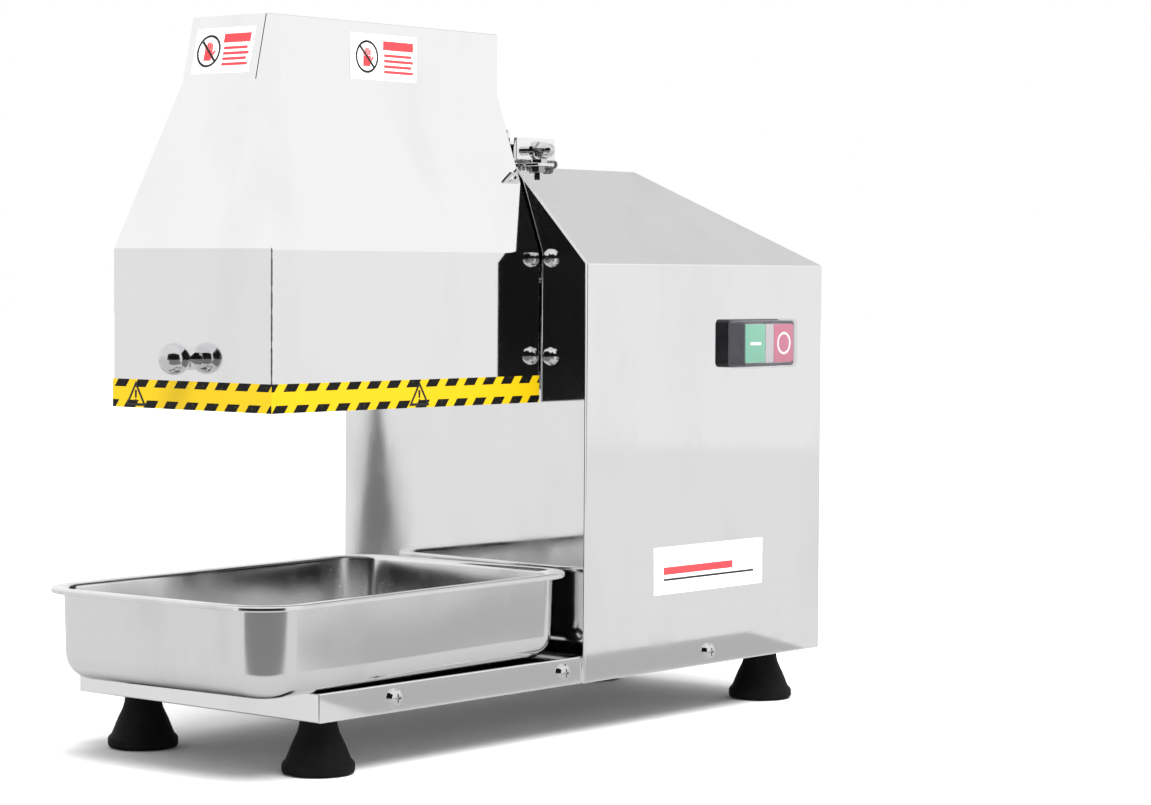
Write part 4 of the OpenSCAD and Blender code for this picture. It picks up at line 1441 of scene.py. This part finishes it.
    @staticmethod
    def slash(middle: tuple[float, float], reach: float, half: float) -> Outline:
        """The outline of a bar that slants down to the right through a point.

        Args:
            middle: The point, on the panel.
            reach: Half of the bar's length.
            half: Half of its width.

        Returns:
            The outline.
        """
        c = math.sqrt(0.5)
        u, v = middle
        ends = [(-reach, -half), (reach, -half), (reach, half), (-reach, half)]
        return [(u + (a + b) * c, v + (b - a) * c) for a, b in ends]

    @staticmethod
    def hand(middle: tuple[float, float]) -> list[Outline]:
        """The outlines of a palm with four fingers and a thumb.

        Args:
            middle: The sign's middle on its panel.

        Returns:
            The outlines.
        """
        u, v = middle
        palm = [(u - 3.4, v - 6), (u + 2.6, v - 6), (u + 3.4, v - 3), (u + 3.4, v + 0.6), (u - 3.4, v + 0.6)]
        fingers = []
        for i, tall in enumerate((4.2, 5.6, 5.4, 4.4)):
            left = u - 3.4 + 1.74 * i
            fingers.append(strip(left, left + 1.4, v + 0.9, v + tall))
        thumb = [(u + 3.7, v - 3.4), (u + 6.2, v - 0.4), (u + 5.2, v + 0.6), (u + 3.7, v - 1.2)]
        return [palm, *fingers, thumb]

    def tape_signs(self) -> bpy.types.Object:
        """Makes the plain warning triangles on the tape's front and left faces.

        Returns:
            The piece.
        """
        low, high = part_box("hazard_tape")
        left = Panel(Vector((low.x, high.y, low.z)), FORWARD, UP)
        shape = Shape()
        for panel, u in ((Panel.front_of("hazard_tape"), 128.0), (left, 21.0)):
            self.triangle(shape, panel, u)
        return shape.build("tape_signs", BLACK_INK, "hood", Slot.TAPE)

    @staticmethod
    def triangle(shape: Shape, panel: Panel, u: float) -> None:
        """Lays a hollow triangle with a bar and a dot in it.

        Args:
            shape: The shape that takes it.
            panel: The face that it lies on.
            u: Its middle, from the panel's corner.
        """
        outer = [(u - 9.2, 1.2), (u + 9.2, 1.2), (u, 16.4)]
        inner = [(u - 6.4, 2.8), (u + 6.4, 2.8), (u, 13.4)]
        thick = 0.06
        section = ((outer, SUNK), (outer, thick), (inner, thick), (inner, SUNK))
        shape.skin([[panel.point(a, b, out) for a, b in corners] for corners, out in section])
        shape.cut_out(panel, [(u - 0.7, 6.0), (u + 0.7, 6.0), (u + 1.0, 10.8), (u - 1.0, 10.8)], thick)
        shape.cut_out(panel, strip(u - 0.8, u + 0.8, 3.8, 5.2), thick)


@dataclass
class Tray:
    """The loose pressed tray on the deck, in millimetres."""

    middle: tuple[float, float] = (84.0, 86.0)
    yaw: float = math.radians(2.5)
    length: float = 298.0
    width: float = 197.0
    rim: float = 9.0
    corner: float = 34.0
    height: float = 56.0
    floor_r: float = 15.0
    sheet: float = 1.2
    draft: float = 1.0
    rim_r: float = 3.0
    floor_run: float = 14.0
    floor_rise: float = 0.05
    rim_steps: int = 5
    floor_steps: int = 8
    turns: int = 20

    def build(self) -> list[bpy.types.Object]:
        """Makes the dish with its rolled rim.

        Returns:
            The pieces.
        """
        inside = self.profile(0.0)
        outside = self.profile(self.sheet)
        rings = [self.ring(inset, z) for inset, z in [*reversed(outside), *self.roll(), *inside]]
        shape = Shape().skin(rings, capped=True)
        return [shape.build("pressed_tray", PRESSED, "tray", Slot.BRUSHED, ("tray",))]

    def roll(self) -> Outline:
        """The rim's turned-down outer edge.

        Returns:
            Its points, as inset and height.
        """
        top = self.height
        return [
            (2.4, top - self.sheet), (1.4, top - 1.5), (1.2, top - 3.0), (0.5, top - 3.4),
            (0.0, top - 2.6), (0.1, top - 1.1), (0.7, top - 0.3), (1.7, top), (2.6, top),
        ]

    def profile(self, shell: float) -> Outline:
        """The rim, wall and floor as inset and height.

        Args:
            shell: The sheet's thickness for the outer side, and 0 for the inner side.

        Returns:
            The points, from the rim inwards and down.
        """
        top = self.height - shell
        low = self.sheet - shell
        turn_r = self.rim_r - shell
        start = self.rim - shell
        points = [(start - turn_r, top)]
        for i in range(1, self.rim_steps + 1):
            a = math.pi / 2 * i / self.rim_steps
            points.append((start - turn_r + turn_r * math.sin(a), top - turn_r + turn_r * math.cos(a)))
        radius = self.floor_r + shell
        foot = start + self.draft
        for i in range(self.floor_steps + 1):
            a = math.pi / 2 * i / self.floor_steps
            points.append((foot + radius * (1 - math.cos(a)), low + radius * (1 - math.sin(a))))
        points.append((foot + radius + self.floor_run, low + self.floor_rise))
        return points

    def ring(self, inset: float, z: float) -> list[Vector]:
        """A rounded rectangle at a height.

        Args:
            inset: How far it lies inside the rim's edge.
            z: Its height above the deck.

        Returns:
            Its points, turned with the tray.
        """
        half_l, half_w = self.length / 2 - inset, self.width / 2 - inset
        radius = max(self.corner - inset, 2.0)
        points = []
        for quarter, (sx, sy) in enumerate(((1, 1), (-1, 1), (-1, -1), (1, -1))):
            for i in range(self.turns + 1):
                a = math.pi / 2 * (quarter + i / self.turns)
                points.append((
                    sx * (half_l - radius) + radius * math.cos(a),
                    sy * (half_w - radius) + radius * math.sin(a),
                ))
        deck = (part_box("tray")[0].z - ORIGIN.z) / MM
        c, s = math.cos(self.yaw), math.sin(self.yaw)
        mx, my = self.middle
        return [at(mx + x * c - y * s, my + x * s + y * c, deck + z) for x, y in points]


@dataclass
class Works:
    """The driven parts behind the sheets: motor, gears, blade rollers and their frame."""

    edge: float = 0.3

    def build(self) -> list[bpy.types.Object]:
        """Dresses every node that is still in its plain slot.

        Returns:
            The pieces.
        """
        shaped = [softened("side_plates", "cassette_side_plates", BRUSHED, self.edge)]
        for node, piece in frame["nodes"].items():
            if node != "side_plates" and piece.material_slots[0].material.name not in DRESSED:
                dress(node, DEFAULTS[SLOTS[node]])
        return shaped


# ---------- the studio ----------


CARD_LIFT = 0.2


@dataclass(frozen=True)
class Card:
    """A soft card that only shows in polished surfaces.

    Attributes:
        name: Its name.
        towards: Direction from the machine.
        distance: Distance from the machine in metres.
        size: Width and height in metres.
        glow: How bright it is.
    """

    name: str
    towards: Vector
    distance: float
    size: tuple[float, float]
    glow: float

    def build(self) -> None:
        """Hangs the card, facing the machine."""
        middle = self.towards.normalized() * self.distance + UP * CARD_LIFT
        turn = (-self.towards).to_track_quat("Z", "Y").to_matrix()
        w, h = self.size[0] / 2, self.size[1] / 2
        corners = [Vector((x, y, 0.0)) for x, y in ((-w, -h), (w, -h), (w, h), (-w, h))]
        hang(self.name, [middle + turn @ c for c in corners], self.glow)


def quad(name: str, corners: Sequence[Vector]) -> bpy.types.Object:
    """Makes a single face with four corners.

    Args:
        name: Its name.
        corners: Its four corners.

    Returns:
        The object that holds it.
    """
    data = bpy.data.meshes.new(name)
    data.from_pydata(list(corners), [], [(0, 1, 2, 3)])
    return placed(name, data)


def hang(name: str, corners: Sequence[Vector], glow: float) -> None:
    """Hangs a card that only polished metal shows.

    Args:
        name: Its name.
        corners: Its four corners.
        glow: How bright it is.
    """
    made = quad(name, corners)
    material = bpy.data.materials.new(name)
    material.use_nodes = True
    graph = Graph(material.node_tree)
    cloth = graph.noise(3.0) * 0.02 + glow
    shader = graph.node("ShaderNodeEmission", None, {"Color": (1.0, 1.0, 1.0), "Strength": cloth})
    graph.node("ShaderNodeOutputMaterial", None, {"Surface": shader.outputs[0]})
    made.data.materials.append(material)
    made.visible_camera = made.visible_diffuse = False
    made.visible_shadow = made.visible_transmission = False


@dataclass(frozen=True)
class Patch:
    """A small card given by its four corners, for one band of tone in one sheet.

    Attributes:
        name: Its name.
        glow: How bright it is.
        corners: Its four corners in metres.
    """

    name: str
    glow: float
    corners: tuple[Colour, ...]

    def build(self) -> None:
        """Hangs the patch."""
        hang(self.name, [Vector(c) for c in self.corners], self.glow)


@dataclass
class Studio:
    """The pale floor, the soft light, the cards and the camera."""

    place: Vector = Vector((-1.49639, -1.36031, 0.29998))
    yaw: float = 39.7482
    pitch: float = 2.44103
    roll: float = 0.3489
    lens: float = 96.3227
    sky: float = 1.0
    sun: float = 5.0
    floor_tone: float = 0.90
    mirrored_floor_tone: float = 0.34
    cards: tuple[Card, ...] = (
        Card("flag_behind", Vector((-0.768, -0.639, 0.0)), 3.2, (6.2, 5.6), 0.0),
        Card("grey_above_right", Vector((0.768, -0.076, 0.635)), 3.0, (2.4, 2.4), 0.70),
        Card("grey_front_right", Vector((0.80, -0.60, 0.0)), 3.4, (3.4, 0.62), 0.87),
        Card("grey_back_left", Vector((-0.768, 0.639, 0.0)), 5.4, (5.0, 2.6), 0.81),
    )
    patches: tuple[Patch, ...] = (
        Patch("slanting_flag", 0.17, (
            (-0.6288, 0.7027, 0.1787), (-0.6302, 0.6946, 0.1789),
            (-0.6328, 0.6631, 0.0105), (-0.6232, 0.7180, 0.0075))),
        Patch("grey_on_floor_0", 0.46, (
            (0.00, -0.27, 0.001), (0.04, -0.37, 0.001), (0.56, -0.37, 0.001), (0.50, -0.27, 0.001))),
        Patch("grey_on_floor_1", 0.24, (
            (-0.60, -0.04, 0.001), (-3.4, -0.5, 0.001), (-0.9, -3.4, 0.001), (-0.12, -0.50, 0.001))),
    )
    sun_angle: float = 38.0
    sun_way: Vector = Vector((0.30, 0.55, -1.0))
    floor_half: float = 14.0

    def build(self) -> None:
        """Sets up everything round the machine."""
        self.camera()
        self.floor("floor", self.floor_tone, -0.0004, seen=True)
        self.floor("floor_in_mirrors", self.mirrored_floor_tone, -0.0002, seen=False)
        self.light()
        for card in (*self.cards, *self.patches):
            card.build()
        bpy.context.scene.view_settings.view_transform = "Standard"

    def camera(self) -> None:
        """Places the camera level with the tape, a little to the left of the machine."""
        data = bpy.data.cameras.new("view")
        data.lens = self.lens
        data.sensor_width = 36.0
        data.clip_start = 0.05
        made = placed("view", data)
        yaw, pitch, roll = (math.radians(a) for a in (self.yaw, self.pitch, self.roll))
        ahead = Vector((
            math.cos(yaw) * math.cos(pitch), math.sin(yaw) * math.cos(pitch), -math.sin(pitch)))
        right = Vector((math.sin(yaw), -math.cos(yaw), 0.0))
        upward = right.cross(ahead)
        rolled = right * math.cos(roll) + upward * math.sin(roll)
        top = upward * math.cos(roll) - right * math.sin(roll)
        turn = Matrix((rolled, top, -ahead)).transposed()
        made.matrix_world = Matrix.Translation(self.place) @ turn.to_4x4()
        bpy.context.scene.camera = made

    def floor(self, name: str, tone: float, z: float, seen: bool) -> None:
        """Lays a pale floor.

        Args:
            name: Its name.
            tone: Its grey, from 0 to 1.
            z: Its height in metres.
            seen: True for the floor itself, False for the one that only polished metal shows.
        """
        half = self.floor_half
        made = quad(name, [Vector((x, y, z)) for x, y in strip(-half, half, -half, half)])
        dull = tone * 0.97
        paper = Finish(name + "_paper", (tone, tone, tone), (dull, dull, dull), 0.8, line_scale=300.0)
        made.data.materials.append(paper.material())
        made.visible_glossy = not seen
        made.visible_camera = made.visible_diffuse = made.visible_shadow = seen

    def light(self) -> None:
        """Hangs the soft light and sets the pale surroundings."""
        world = bpy.data.worlds.new("surroundings")
        world.use_nodes = True
        graph = Graph(world.node_tree)
        glow = graph.node("ShaderNodeBackground", None, {"Color": (1.0, 1.0, 1.0), "Strength": self.sky})
        graph.node("ShaderNodeOutputWorld", None, {"Surface": glow.outputs[0]})
        bpy.context.scene.world = world
        data = bpy.data.lights.new("soft_light", "SUN")
        data.energy = self.sun
        data.angle = math.radians(self.sun_angle)
        made = placed("soft_light", data)
        made.rotation_euler = self.sun_way.to_track_quat("-Z", "Y").to_euler()
        made.visible_glossy = False


SLOTS: dict[str, Slot] = {node: slot_of(node) for node in frame["nodes"]}
DRESSED: set[str] = {finish.name for finish in (CHROME, BLACK, BRUSHED)}


def main() -> None:
    """Builds the machine, one sub-assembly after another."""
    logging.basicConfig(level=logging.INFO, format="%(message)s")
    Studio().build()
    for part in (Base(), Housing(), Switch(), Hinge(), Hood(), Tray(), Works()):
        for piece in part.build():
            log.info("%s: %s, %d faces", type(part).__name__, piece.name, len(piece.data.polygons))


if __name__ == "__main__":
    main()
